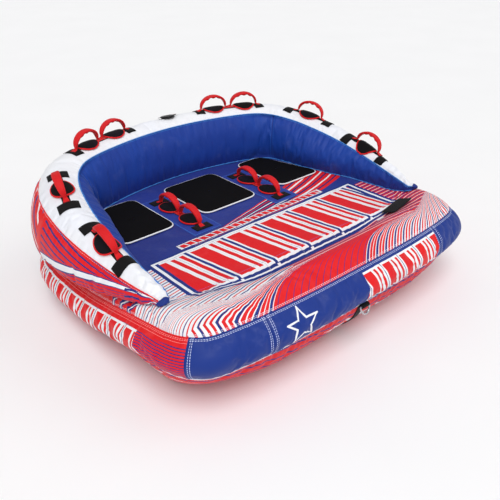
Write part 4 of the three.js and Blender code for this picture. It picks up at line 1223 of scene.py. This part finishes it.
def with_bottom(hull):
    """The hull grid, closed in towards the middle of the keel."""
    last = hull[:, -1:]
    middle = np.array([0, -.12, KEEL])
    size = np.array([.94, .8, .6, .4, .2, .02])[None, :, None]
    return np.concatenate([hull, middle + (last - middle) * size], 1)


deck = sunken_deck()
panel("cover_top_ring", base[:, :top_seam + 1], BASE_FLAT[:, :top_seam + 1], BASE_RUN, RING,
      "cover_red", "top_ring_panel", closed=True)
bow_cut, corner_cut, stern_cut = band_cuts
band("bow", -bow_cut, bow_cut, BAND_BOW, "cover_blue")
band("corner_right", bow_cut, corner_cut, BAND_BLUE, "cover_blue")
band("corner_left", -corner_cut, -bow_cut, BAND_BLUE, "cover_blue")
band("right", corner_cut, stern_cut, BAND_SIDE, "cover_red")
band("left", -stern_cut, -corner_cut, BAND_SIDE, "cover_red")
band("stern", stern_cut, ROWS - stern_cut, BAND_BLUE, "cover_blue")
panel("cover_hull", with_bottom(base[:, low_seam:]), with_bottom(BASE_FLAT[:, low_seam:]),
      BASE_RUN, HULL, "cover_red", "hull_panel", closed=True)

for part, columns, surface, slot in (
        ("inner", slice(0, inner_seam + 1), INNER, "cover_blue"),
        ("rim", slice(inner_seam, outer_seam + 1), RIM_CLOTH, "cover_white"),
        ("outer", slice(outer_seam, None), OUTER, "cover_red")):
    panel("backrest_" + part, rest[:, columns], REST_FLAT[:, columns], REST_RUN, surface, slot,
          f"backrest_{part}_panel", reverse=part == "outer")


def arm_end(side, row):
    """Rounded cap on an arm tip, bulging towards the bow."""
    tip = rest[row]
    forward = np.append(rim_at(REST_RUN[row])[3], 0.0)
    if forward[1] > 0:
        forward = -forward
    centre = tip.mean(0) - np.array([0, 0, .004])
    ring, rings = tip, []
    for k, turn in enumerate(np.linspace(0, PI / 2 * .985, 14)):
        rings.append(centre + (ring - centre) * math.cos(turn) + forward * .026 * math.sin(turn))
        for _ in range(5 + 2 * k):
            ring = ring * .5 + (np.roll(ring, 1, 0) + np.roll(ring, -1, 0)) * .25
    grid = np.stack(rings, 1)
    grid[..., 2] = np.maximum(grid[..., 2], min(tip[0, 2], tip[-1, 2]))
    grid = np.concatenate([grid, grid[:1]], 0)
    ob = sheet("arm_end_" + side, grid + DECK_AT, flip=side == "left",
               uvs=stepped_uvs(*grid.shape[:2], .004, .004))
    finish(ob, CAP, "cover_blue", "arm_cap_" + side)


arm_end("right", 0)
arm_end("left", len(rest) - 1)


# ---------------------------------------------------------------- piping and seam bindings
def pipe(name, path, radius, surface, slot, closed=False, up=UP):
    finish(sweep(name, path + DECK_AT, circle(radius), up, closed), surface, slot)


def top_cord_colour():
    """Red along the sides, blue round the bow and stern."""
    _, y = deck_xy(position())
    corner_y, stern_y = (float(base[cut, top_seam][1]) for cut in (corner_cut, stern_cut))
    return faded(mix(between(y, corner_y, stern_y), BLUE, RED), soil=.12)


pipe("piping_rim_inner", rest[:, inner_seam], .0032, PIPE_LIGHT, "cover_blue")
pipe("piping_wall_foot", rest[:, 0] + UP * .002, .0034, PIPE_LIGHT, "cover_blue")
pipe("piping_rim_outer", rest[:, outer_seam], .0026, PIPE_RED, "cover_red")
pipe("piping_outer_foot", rest[:, -1], .0030, PIPE_BLUE, "cover_blue")
TOP_CORD = piping("piping_top", top_cord_colour, rough=.5)
pipe("piping_base_top", base[:, top_seam], .0021, TOP_CORD, "cover_red", closed=True)
pipe("piping_base_low", base[:, low_seam], .0036, PIPE_WHITE, "cover_white", closed=True)
for cut, place in zip(band_cuts, ("bow", "corner", "stern")):
    for row, side in ((cut, "right"), (ROWS - cut, "left")):
        pipe(f"seam_{place}_{side}", base[row, top_seam:low_seam + 1], .0022, PIPE_BLUE,
             "cover_blue", up=RIGHT)

# ---------------------------------------------------------------- laying things on the cover
cover = Sheets()
for grid, closed in ((base, True), (rest, False), (deck, True)):
    cover.add(grid + DECK_AT, closed=closed, uvs={})
COVER = BVHTree.FromPolygons(np.vstack(cover.points).tolist(), cover.faces)


def drop(point, out, lift, reach=.14):
    """The point moved along out to the cover, then lifted off it."""
    hit = COVER.ray_cast(Vector(point + out * reach), Vector(-out), reach * 2.4)[0]
    return (np.array(hit) if hit is not None else point) + out * lift


SINK = .017             # handle joints lie this far above the cover


def on_cover(h, u, v, lift=0.0):
    return drop(h.centre - h.out * SINK + h.along * u + h.across * v, h.out, lift)


def drape(h, us, vs, lift):
    grid = np.array([[on_cover(h, u, v) for v in vs] for u in us])
    return grid + h.out * np.asarray(lift)[..., None]


# ---------------------------------------------------------------- handles
PAD_HALF = (.066, .054)         # half axes of the oval knuckle pads
# knuckle pad section: share of the half axes, height
PAD_SECTION = [(1.0, .0), (1.018, .0025), (1.012, .0060), (.98, .0088), (.92, .0102),
               (.82, .0112), (.6, .0120), (.35, .0122), (.02, .0122)]
LOOP_HALF, LOOP_RISE = .086, .0675


def tack_colour():
    """Ribbed cloth with a stitched and crossed box."""
    across, down = uv()
    c = mix(fract(across / .0038) < .5, srgb(232, 24, 34), srgb(212, 18, 30))
    a, b = down / .040, across / .076
    cross = either(near(a - b, .035), near(a + b - 1.0, .035))
    box = either(either(near(b - .10, .022), near(b - .90, .022)),
                 either(near(a - .12, .035), near(a - .88, .035)))
    dashes = fract((across + down) / .004) < .7
    return mix(either(cross, box) * dashes, c, srgb(120, 8, 18))


TACK = material("grip_tack", tack_colour, .62, grip_bump, sheen=.35)


def reinforcement(h):
    us, vs = np.linspace(-.262, .262, 60), np.linspace(-.092, .092, 24)
    lift = (.0006 + .0020 * edge_rise(us, vs, *PATCH_HALF)
            + .0004 * np.sin(us * 90)[:, None] * np.sin(vs * 70)[None, :])
    ob = sheet("deck_reinforcement_" + h.name[5:], drape(h, us, vs, lift))
    finish(ob, PATCH, "cover_blue", "patch_" + h.name)


def webbing(h, ground):
    """A long strap with a cross strap at each end."""
    straps = Sheets()
    vs = np.array([-.020, -.0197, -.019, -.010, 0, .010, .019, .0197, .020])
    lift = np.array([0, .0014, .0021, .0024, .0024, .0024, .0021, .0014, 0])
    straps.add(drape(h, np.linspace(-h.half, h.half, 90), vs, ground + .0008 + lift))
    us = np.array([-.030, -.0297, -.029, -.02, -.01, 0, .01, .02, .029, .0297, .030])
    vs = np.concatenate([[-.054, -.0537, -.053], np.linspace(-.045, .045, 13),
                         [.053, .0537, .054]])
    edge = [0, .0012, .0022]
    lift_u, lift_v = (np.array(edge + [.0028] * flat + edge[::-1]) for flat in (5, 13))
    lift = ground + .0012 + np.minimum(lift_u[:, None], lift_v[None, :])
    for end in (-h.half, h.half):
        straps.add(drape(h, end + us, vs, lift))
    finish(straps.build("anchor_webbing_" + h.name), WEBBING, "webbing_black",
           "webbing_" + h.name)


def oval(h, place, count, half, size, lift):
    return [on_cover(h, place + half[0] * size * math.cos(t), half[1] * size * math.sin(t), lift)
            for t in np.arange(count) / count * 2 * PI]


def knuckle_pads(h, ground):
    pads, rims = Sheets(), Sheets()
    rim_half = [half + .002 for half in PAD_HALF]
    for place in h.places:
        rings = [oval(h, place, 56, PAD_HALF, size, ground + .004 + z) for size, z in PAD_SECTION]
        pads.add(np.swapaxes(rings, 0, 1), closed=True)
        path = np.array(oval(h, place, 72, rim_half, 1.0, ground + .0075))
        rims.add(swept(path, circle(.0044, 12), *frames_along(path, True, h.out)),
                 closed=True, closed_v=True)
    finish(pads.build("knuckle_pad_" + h.name), GUARD, "foam_black", "knuckle_guard_" + h.name)
    finish(rims.build("knuckle_rim_" + h.name), PIPE_RED, "foam_red")


def grip_loop(grip):
    """Arched grip, broad in the middle, with finger waves on its underside."""
    turn = np.linspace(0, PI, 61)
    swell = np.sin(turn) ** .6
    half_width = .0090 + (.0225 - .0090) * swell
    half_thick = .0042 + (.0084 - .0042) * swell
    t = np.arange(20) / 20 * 2 * PI
    section_u = np.sign(np.cos(t)) * np.abs(np.cos(t)) ** .45
    section_v = np.sign(np.sin(t)) * np.abs(np.sin(t)) ** .8
    waves = (np.cos((turn / PI - .5) * 2 * PI * 6.0) * .50
             * np.clip(np.sin((turn / PI - .2) / .6 * PI), 0, 1) ** .4)
    out_u, out_v = np.cos(turn) / LOOP_HALF, np.sin(turn) / .074
    size = np.hypot(out_u, out_v)
    outward = (grip.axis * (out_u / size)[:, None] + grip.out * (out_v / size)[:, None])
    path = (grip.pos + grip.axis * (LOOP_HALF * np.cos(turn))[:, None]
            + grip.out * (LOOP_RISE * np.sin(turn) ** .92)[:, None])
    thick = half_thick[:, None] * section_v[None, :]
    thick = np.where(section_v[None, :] < 0, thick * (1 + waves[:, None]), thick)
    wide = half_width[:, None] * section_u[None, :]
    grid = path[:, None] + grip.across * wide[..., None] + outward[:, None] * thick[..., None]
    ob = sheet("grip_loop_" + grip.name, grid, closed_v=True, caps=True)
    finish(ob, GRIP, "foam_red", "grip_" + grip.name, body=grip.name)


def grip_feet(h, grip, ground):
    """Straps from the loop's ends to the cover."""
    feet = Sheets()
    for side in (-1, 1):
        end = grip.pos + grip.axis * (side * LOOP_HALF)
        foot = drop(grip.pos - grip.out * SINK + grip.axis * (side * .103), h.out,
                    ground + .0030)
        middle = (end - grip.out * .006 + foot + h.out * .003) / 2 - grip.axis * side * .002
        path = spline([end + grip.out * .001, end - grip.out * .004, middle,
                       foot + h.out * .001, foot + grip.axis * (side * .012)],
                      np.linspace(0, 1, 15))
        side_up = frames_along(path, False, grip.axis * side)
        feet.add(swept(path, rounded_rect(.026, .0050, .0022), *side_up,
                       wide=np.linspace(.62, 1.25, 15)), closed_v=True, caps=True)
    ob = feet.build("grip_feet_" + grip.name)
    ob.data.materials.append(GRIP)
    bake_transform(ob)


for handle in HANDLES:
    on_deck = handle.name.startswith("deck")
    ground = .0030 if on_deck else .0012
    if on_deck:
        reinforcement(handle)
    webbing(handle, ground)
    knuckle_pads(handle, ground)
    for grip in handle.grips:
        grip_loop(grip)
        grip_feet(handle, grip, ground)
    if len(handle.grips) == 2:
        bridge = drape(handle, np.linspace(-.038, .038, 20), np.linspace(-.020, .020, 9),
                       ground + .0046)
        finish(sheet("grip_bridge_" + handle.name, bridge), TACK, "foam_red")

# ---------------------------------------------------------------- seat pads
# seat pad section: inset from the outline, height
SEAT_SECTION = [(.003, 0.0), (.001, .003), (0.0, .006), (.001, .0095), (.004, .0118),
                (.009, .0126), (.018, .0130), (.035, .0137), (.06, .0146), (.09, .0153),
                (.13, .0158), (.17, .016)]


def half_hull(points):
    hull = []
    for p in points:
        while len(hull) > 1:
            (ax, ay), (bx, by) = hull[-2:]
            if (bx - ax) * (p[1] - ay) - (by - ay) * (p[0] - ax) > 0:
                break
            hull.pop()
        hull.append(p)
    return hull[:-1]


def seat_outline(name, count=180):
    """Smoothed convex outline of a CAD pad, and its lowest height."""
    points = node_points(name)
    ordered = sorted(set(map(tuple, np.round(points[:, :2], 5))))
    hull = np.array(half_hull(ordered) + half_hull(ordered[::-1]))
    ring, run = np.vstack([hull, hull[:1]]), lengths(hull, True)
    at = np.arange(count) / count * run[-1]
    edge = np.stack([np.interp(at, run, ring[:, k]) for k in (0, 1)], 1)
    for _ in range(3):
        edge = (edge * 2 + np.roll(edge, 1, 0) + np.roll(edge, -1, 0)) / 4
    return edge, points[:, 2].min()


def seat_pad(place):
    edge, floor_z = seat_outline("seat_pad_" + place)
    centre = edge.mean(0)
    reach = np.linalg.norm(edge - centre, axis=1)[:, None]

    def ring(size, z):
        return np.concatenate([centre + (edge - centre) * size,
                               np.full((len(edge), 1), floor_z + z)], 1)

    rings = [ring(np.maximum(1 - inset / reach, .03), z) for inset, z in SEAT_SECTION]
    ob = sheet("pad_" + place, np.stack(rings + [ring(.02, .0161)], 1), closed=True)
    finish(ob, FOAM, "pad_black", "seat_pad_" + place)
    ob = sweep("pad_piping_" + place, ring(1 + .0015 / reach, .0055), circle(.0042), UP,
               closed=True)
    finish(ob, PIPE_WHITE, "cover_white")


for place in ("left", "centre", "right"):
    seat_pad(place)

# ---------------------------------------------------------------- valves
MM = .001
# valve profiles in millimetres: radius, height
VALVE_BODY = [(14, -34), (16, -34.2), (19, -34), (19, -1), (19.4, 0), (41, 0), (42, .8),
              (42, 2.6), (41, 3.6), (38, 4.9), (36, 5.2), (30, 5.1), (29, 4.6), (29, 1.6),
              (17.6, 1.5), (17.5, 1.2), (17.5, -3), (14, -3), (14, -34)]
LID_TOP = [(40, 6.2), (45, 6.0), (46, 7.0), (46, 9.6), (45, 11.2), (42, 12.6), (36, 13.4),
           (34, 13.0), (32, 13.4), (20, 14.2), (.3, 14.6)]
LID_UNDER = [(40, 6.2), (40, 9.4), (20, 9.6), (.3, 9.6)]


def valve(tag, centre, axis, across, size, plug, top):
    """Body and cap; size scales the body's radii, plug and top are cap radii in mm."""
    profile = np.array(VALVE_BODY) * MM * [size, 1]
    ob = sheet(f"valve_{tag}_body", turned(centre, axis, across, profile, 64), closed=True,
               uvs=stepped_uvs(65, len(profile), .1 / 64, .002))
    finish(ob, PLASTIC, "valve_black", f"{tag}_valve_body")

    profile = np.array([(.2, -2), (plug, -2), (plug, 2.2), (top - .6, 2.2), (top, 2.8),
                        (top, 4.0), (top - .8, 4.6), (.2, 4.7)]) * MM
    turn = np.arange(60)[:, None] / 60 * 2 * PI
    knurl = 1 + .018 * np.sin(turn * 20) * (profile[:, 0] > (top - 1.5) * MM)[None, :]
    cap = Sheets().add(turned(centre, axis, across, profile, 60, knurl), closed=True)
    along = np.linspace(-1, 1, 15)
    path = centre + across * (along * (top - 9.5) * MM)[:, None] + axis * .0062
    taper = np.clip(1 - along ** 6, .25, 1)
    cap.add(swept(path, rounded_rect(.0056, .0046, .0018), np.cross(axis, across), axis,
                  wide=taper, high=taper), closed_v=True, caps=True)
    finish(cap.build(f"valve_{tag}_cap"), PLASTIC, "valve_black", f"{tag}_valve_cap",
           body=tag + "_cap")


def rear_lid(across):
    lid = Sheets()
    for table, flip in ((LID_TOP, False), (LID_UNDER, True)):
        grid = turned(REAR_VALVE, REAR_AXIS, across, np.array(table) * MM, 64)
        lid.add(grid, closed=True, flip=flip)
    taper = np.sqrt(np.clip(1 - np.linspace(0, 1, 10) ** 4, .15, 1))
    # the two tongues at opposite edges: start, end, width, thickness
    for start, end, width, thick in ((-.042, -.066, .018, .0026), (.042, .062, .024, .0036)):
        path = REAR_VALVE + across * np.linspace(start, end, 10)[:, None] + REAR_AXIS * .0095
        lid.add(swept(path, rounded_rect(width, thick, thick * .42),
                      np.cross(REAR_AXIS, across), REAR_AXIS, wide=taper),
                closed_v=True, caps=True)
    finish(lid.build("valve_rear_lid"), PLASTIC, "valve_black", "rear_valve_lid",
           body="rear_lid")


def valve_flap(half_u=.088, half_v=.052):
    _, along = body_joint("base_flap")
    us, vs = np.linspace(-half_u, half_u, 34), np.linspace(-half_v, half_v, 22)
    sag = .0022 * np.cos(us * 24)[:, None] * np.cos(vs * 30)[None, :]
    corner = 1 - .10 * (np.abs(us / half_u) ** 8)[:, None] * (np.abs(vs / half_v) ** 6)[None, :]
    flat = (BASE_VALVE + BASE_AXIS * .0105 + along * (us[:, None] * corner)[..., None]
            + np.cross(BASE_AXIS, along) * (vs[None, :] * corner)[..., None])
    upper = sag + .0024 * edge_rise(us, vs, half_u, half_v)
    flap = Sheets().add(flat + BASE_AXIS * upper[..., None])
    flap.add(flat + BASE_AXIS * (sag * .9)[..., None], flip=True)
    finish(flap.build("valve_flap"), WEBBING, "webbing_black", "base_valve_flap",
           body="base_flap")


lid_across = square_to(body_joint("rear_lid")[0] - REAR_VALVE, REAR_AXIS)
valve("rear", REAR_VALVE, REAR_AXIS, lid_across, size=1.0, plug=16.5, top=28.0)
valve("base", BASE_VALVE, BASE_AXIS, square_to(RIGHT, BASE_AXIS), size=.86, plug=14.2, top=24.0)
rear_lid(lid_across)
valve_flap()


# ---------------------------------------------------------------- label and zip
def care_label():
    centre = node_points("care_label").mean(0)
    grid = [[drop(centre + np.array([u, v, 0]), UP, .0016 + .0008 * math.sin(u * 80))
             for v in np.linspace(-.015, .015, 9)] for u in np.linspace(-.026, .026, 14)]
    finish(sheet("sewn_label", grid), LABEL, "label_white", "care_label")


def cover_zip():
    """Tape and teeth laid on the stern face, and the slider's hanging pull."""
    low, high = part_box("cover_zip_tape")
    middle, half = (low[2] + high[2]) / 2, (high[2] - low[2]) / 2

    def strip(offsets, lifts):
        return [[drop(np.array([x, high[1] - .02, middle + z]), STERN, lift)
                 for z, lift in zip(offsets, lifts)] for x in np.linspace(low[0], high[0], 160)]

    offsets = np.linspace(-half, half, 9)
    tape = strip(offsets, .0012 + .0012 * (np.abs(offsets) < half * .9))
    finish(sheet("zip_tape", tape, flip=True), WEBBING, "zip_metal", "cover_zip_tape")
    teeth = strip((-.0034, -.003, -.001, .001, .003, .0034),
                  (.0022, .0040, .0046, .0046, .0040, .0022))
    finish(sheet("zip_teeth", teeth, flip=True), ZIP, "zip_metal")
    low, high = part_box("cover_zip_slider")
    centre = (np.array(low) + np.array(high)) / 2
    path = np.array([[centre[0] + .002 * math.sin(i / 3), high[1] + .0016,
                      centre[2] - .004 - .0035 * i] for i in range(9)])
    ob = sweep("zip_pull", path, rounded_rect(.010, .0022, .001), STERN)
    finish(ob, STEEL, "zip_metal", body="zip_slider")


care_label()
cover_zip()

# ---------------------------------------------------------------- tow point
RING_AT, _ = body_joint("ring")
TOW_LOOP = .0112        # radius of the webbing loop round the ring's bar


def tow_webbing():
    """Strap down the bow, with a loop round the ring's bar and a neck joining the two."""
    low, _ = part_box("tow_strap")
    across = [-.025, -.0246, -.023, -.012, 0, .012, .023, .0246, .025]
    lifts = [0, .0014, .0026, .0034, .0034, .0034, .0026, .0014, 0]
    rows = []
    for z in np.linspace(RING_AT[2] - .006, low[2] + .003, 60):
        hits = [COVER.ray_cast(Vector((x, -1.3, z)), Vector((0, 1, 0)), 1.3) for x in across]
        if any(hit[0] is None for hit in hits):
            continue
        out = np.array(hits[4][1])
        out = out * (-1 if out[1] > 0 else 1)
        rows.append([np.array(hit[0]) + out * (.0012 + lift) for hit, lift in zip(hits, lifts)])
    strap = Sheets().add(rows, flip=True)

    centre = np.array([0, RING_AT[1], RING_AT[2]])
    profile = rounded_rect(.050, .0030, .0013)
    turn = np.linspace(-.15 * PI, 1.62 * PI, 40) + .2
    radial = np.stack([turn * 0, -np.sin(turn), np.cos(turn)], 1)
    strap.add(swept(centre + radial * TOW_LOOP, profile, RIGHT, radial), closed_v=True, caps=True)
    top = rows[0][4]
    neck = spline([centre + np.array([0, .006, .0095]),
                   centre + (top - centre) * .45 + np.array([0, 0, .004]),
                   top + np.array([0, -.001, .003]), rows[min(5, len(rows) - 1)][4]],
                  np.linspace(0, 1, 16))
    side, upward = frames_along(neck, False, RIGHT)
    strap.add(swept(neck, profile, upward, side), closed_v=True, caps=True)
    finish(strap.build("tow_webbing"), WEBBING, "webbing_black", "tow_strap")


def tow_ring(half=.031, depth=.044):
    """D-shaped steel ring."""
    outward = node_points("tow_ring").mean(0) - RING_AT
    outward[0] = 0
    outward = unit(outward)
    t = np.linspace(0, PI, 49)
    bar = np.linspace(-half, half, 18)[1:-1]
    x = np.concatenate([half * np.cos(t), bar])
    reach = np.concatenate([depth * np.sin(t) ** .8, bar * 0])
    path = RING_AT + RIGHT * x[:, None] + outward * reach[:, None]
    for _ in range(3):
        path = (path * 2 + np.roll(path, 1, 0) + np.roll(path, -1, 0)) / 4
    ob = sweep("tow_ring_d", path, circle(.005, 16), np.cross(outward, RIGHT), closed=True)
    finish(ob, STEEL, "ring_steel", "tow_ring", body="ring")


tow_webbing()
tow_ring()


# ---------------------------------------------------------------- air chambers under the covers
def shrink(grid, by=.020):
    """Each row drawn in towards its own middle."""
    centre = grid.mean(1, keepdims=True)
    offset = grid - centre
    size = np.linalg.norm(offset, axis=2)[..., None]
    return centre + offset * np.maximum(1 - by / np.maximum(size, 1e-6), .3)


def base_chamber():
    below = UP * .034
    coarse = base[::3, ::2]
    grid = shrink(coarse)
    grid[..., 2] = np.maximum(grid[..., 2], KEEL + .008)
    # straight below the cover in the valley by the deck
    valley = np.clip((10 - np.arange(grid.shape[1])) / 4, 0, 1)[None, :, None]
    grid = grid * (1 - valley) + (coarse - below) * valley
    under_deck = deck[::3, [45, 38, 30, 20, 10, 4, 1]] - below
    foot = np.array([0, -.12, KEEL + .012])
    bottom = foot + (grid[:, -1:] - foot) * np.array([.9, .5, .02])[None, :, None]
    grid = np.concatenate([under_deck, grid, bottom], 1)
    ob = sheet("air_chamber_base", grid + DECK_AT, closed=True, flip=True)
    finish(ob, PVC, "bladder", "base_bladder")


base_chamber()
chamber = sheet("air_chamber_backrest", shrink(rest[2:-2:3, ::2]) + DECK_AT, closed_v=True,
                flip=True, caps=True)
finish(chamber, PVC, "bladder", "backrest_bladder")

# the zip slider keeps its CAD mesh
slider = NODES["cover_zip_slider"]
slider.data.materials.clear()
slider.data.materials.append(STEEL)


# ---------------------------------------------------------------- floor, light, camera
def floor_colour():
    blend = noise(position(), scale=1.5, detail=2.0)
    return mix(blend, srgb(246, 246, 247), srgb(250, 250, 251))


FLOOR_HALF, FLOOR_Z = 30, -.0005
floor_mesh = bpy.data.meshes.new("floor")
floor_mesh.from_pydata([(x * FLOOR_HALF, y * FLOOR_HALF, FLOOR_Z) for x, y in
                        ((-1, -1), (1, -1), (1, 1), (-1, 1))], [], [(0, 1, 2, 3)])
floor = link(floor_mesh, "floor")
floor.data.materials.append(material("floor", floor_colour, rough=.9, sheen=0, spec=.1))


def studio_world(light=.47, seen=.93):
    """White all round: one strength lights the object, another shows behind the floor."""
    world = bpy.data.worlds.new("studio")
    bpy.context.scene.world = world
    world.use_nodes = True
    nodes, links = world.node_tree.nodes, world.node_tree.links
    lit, shown = nodes["Background"], nodes.new("ShaderNodeBackground")
    for node, strength in ((lit, light), (shown, seen)):
        node.inputs[0].default_value = (1, 1, 1, 1)
        node.inputs[1].default_value = strength
    pick = nodes.new("ShaderNodeMixShader")
    ray = nodes.new("ShaderNodeLightPath")
    links.new(ray.outputs["Is Camera Ray"], pick.inputs[0])
    links.new(lit.outputs[0], pick.inputs[1])
    links.new(shown.outputs[0], pick.inputs[2])
    links.new(pick.outputs[0], nodes["World Output"].inputs[0])


def lamp(name, kind, energy, aim, at=(0, 0, 0), **settings):
    data = bpy.data.lights.new(name, kind)
    data.energy = energy
    for key, value in settings.items():
        setattr(data, key, value)
    ob = link(data, name)
    ob.location = at
    ob.rotation_euler = aim.to_track_quat("-Z", "Y").to_euler()


def camera():
    azimuth, elevation, roll = (math.radians(a) for a in (-41.795, 29.935, -.407))
    back = Vector((math.sin(azimuth) * math.cos(elevation),
                   -math.cos(azimuth) * math.cos(elevation), math.sin(elevation)))
    level = (-back).cross(Vector((0, 0, 1))).normalized()
    upright = back.cross(level)
    right = level * math.cos(roll) + upright * math.sin(roll)
    up = -level * math.sin(roll) + upright * math.cos(roll)
    ob = link(bpy.data.cameras.new("camera"), "camera")
    place = Vector((-2.021, -2.4371, 1.989))
    rows = [(right[k], up[k], back[k], place[k]) for k in range(3)]
    ob.matrix_world = Matrix((*rows, (0, 0, 0, 1)))
    ob.data.sensor_width = 36
    ob.data.lens = 44.817624
    ob.data.shift_x = -.02674
    ob.data.shift_y = .0036
    ob.data.clip_end = 200
    bpy.context.scene.camera = ob


studio_world()
lamp("key", "SUN", energy=1.62, aim=-Vector((-1.6, -2.0, 4.4)), angle=math.radians(34))
lamp("fill", "SUN", energy=.42, aim=-Vector((3.0, -2.2, 2.6)), angle=math.radians(50))
SOFT_AT = Vector((-3.0, -4.4, 2.4))
lamp("soft", "AREA", energy=26, aim=Vector((0, 0, .3)) - SOFT_AT, at=SOFT_AT, shape="DISK",
     size=3.0)
camera()
bpy.context.scene.view_settings.view_transform = "Standard"

bpy.context.view_layer.update()
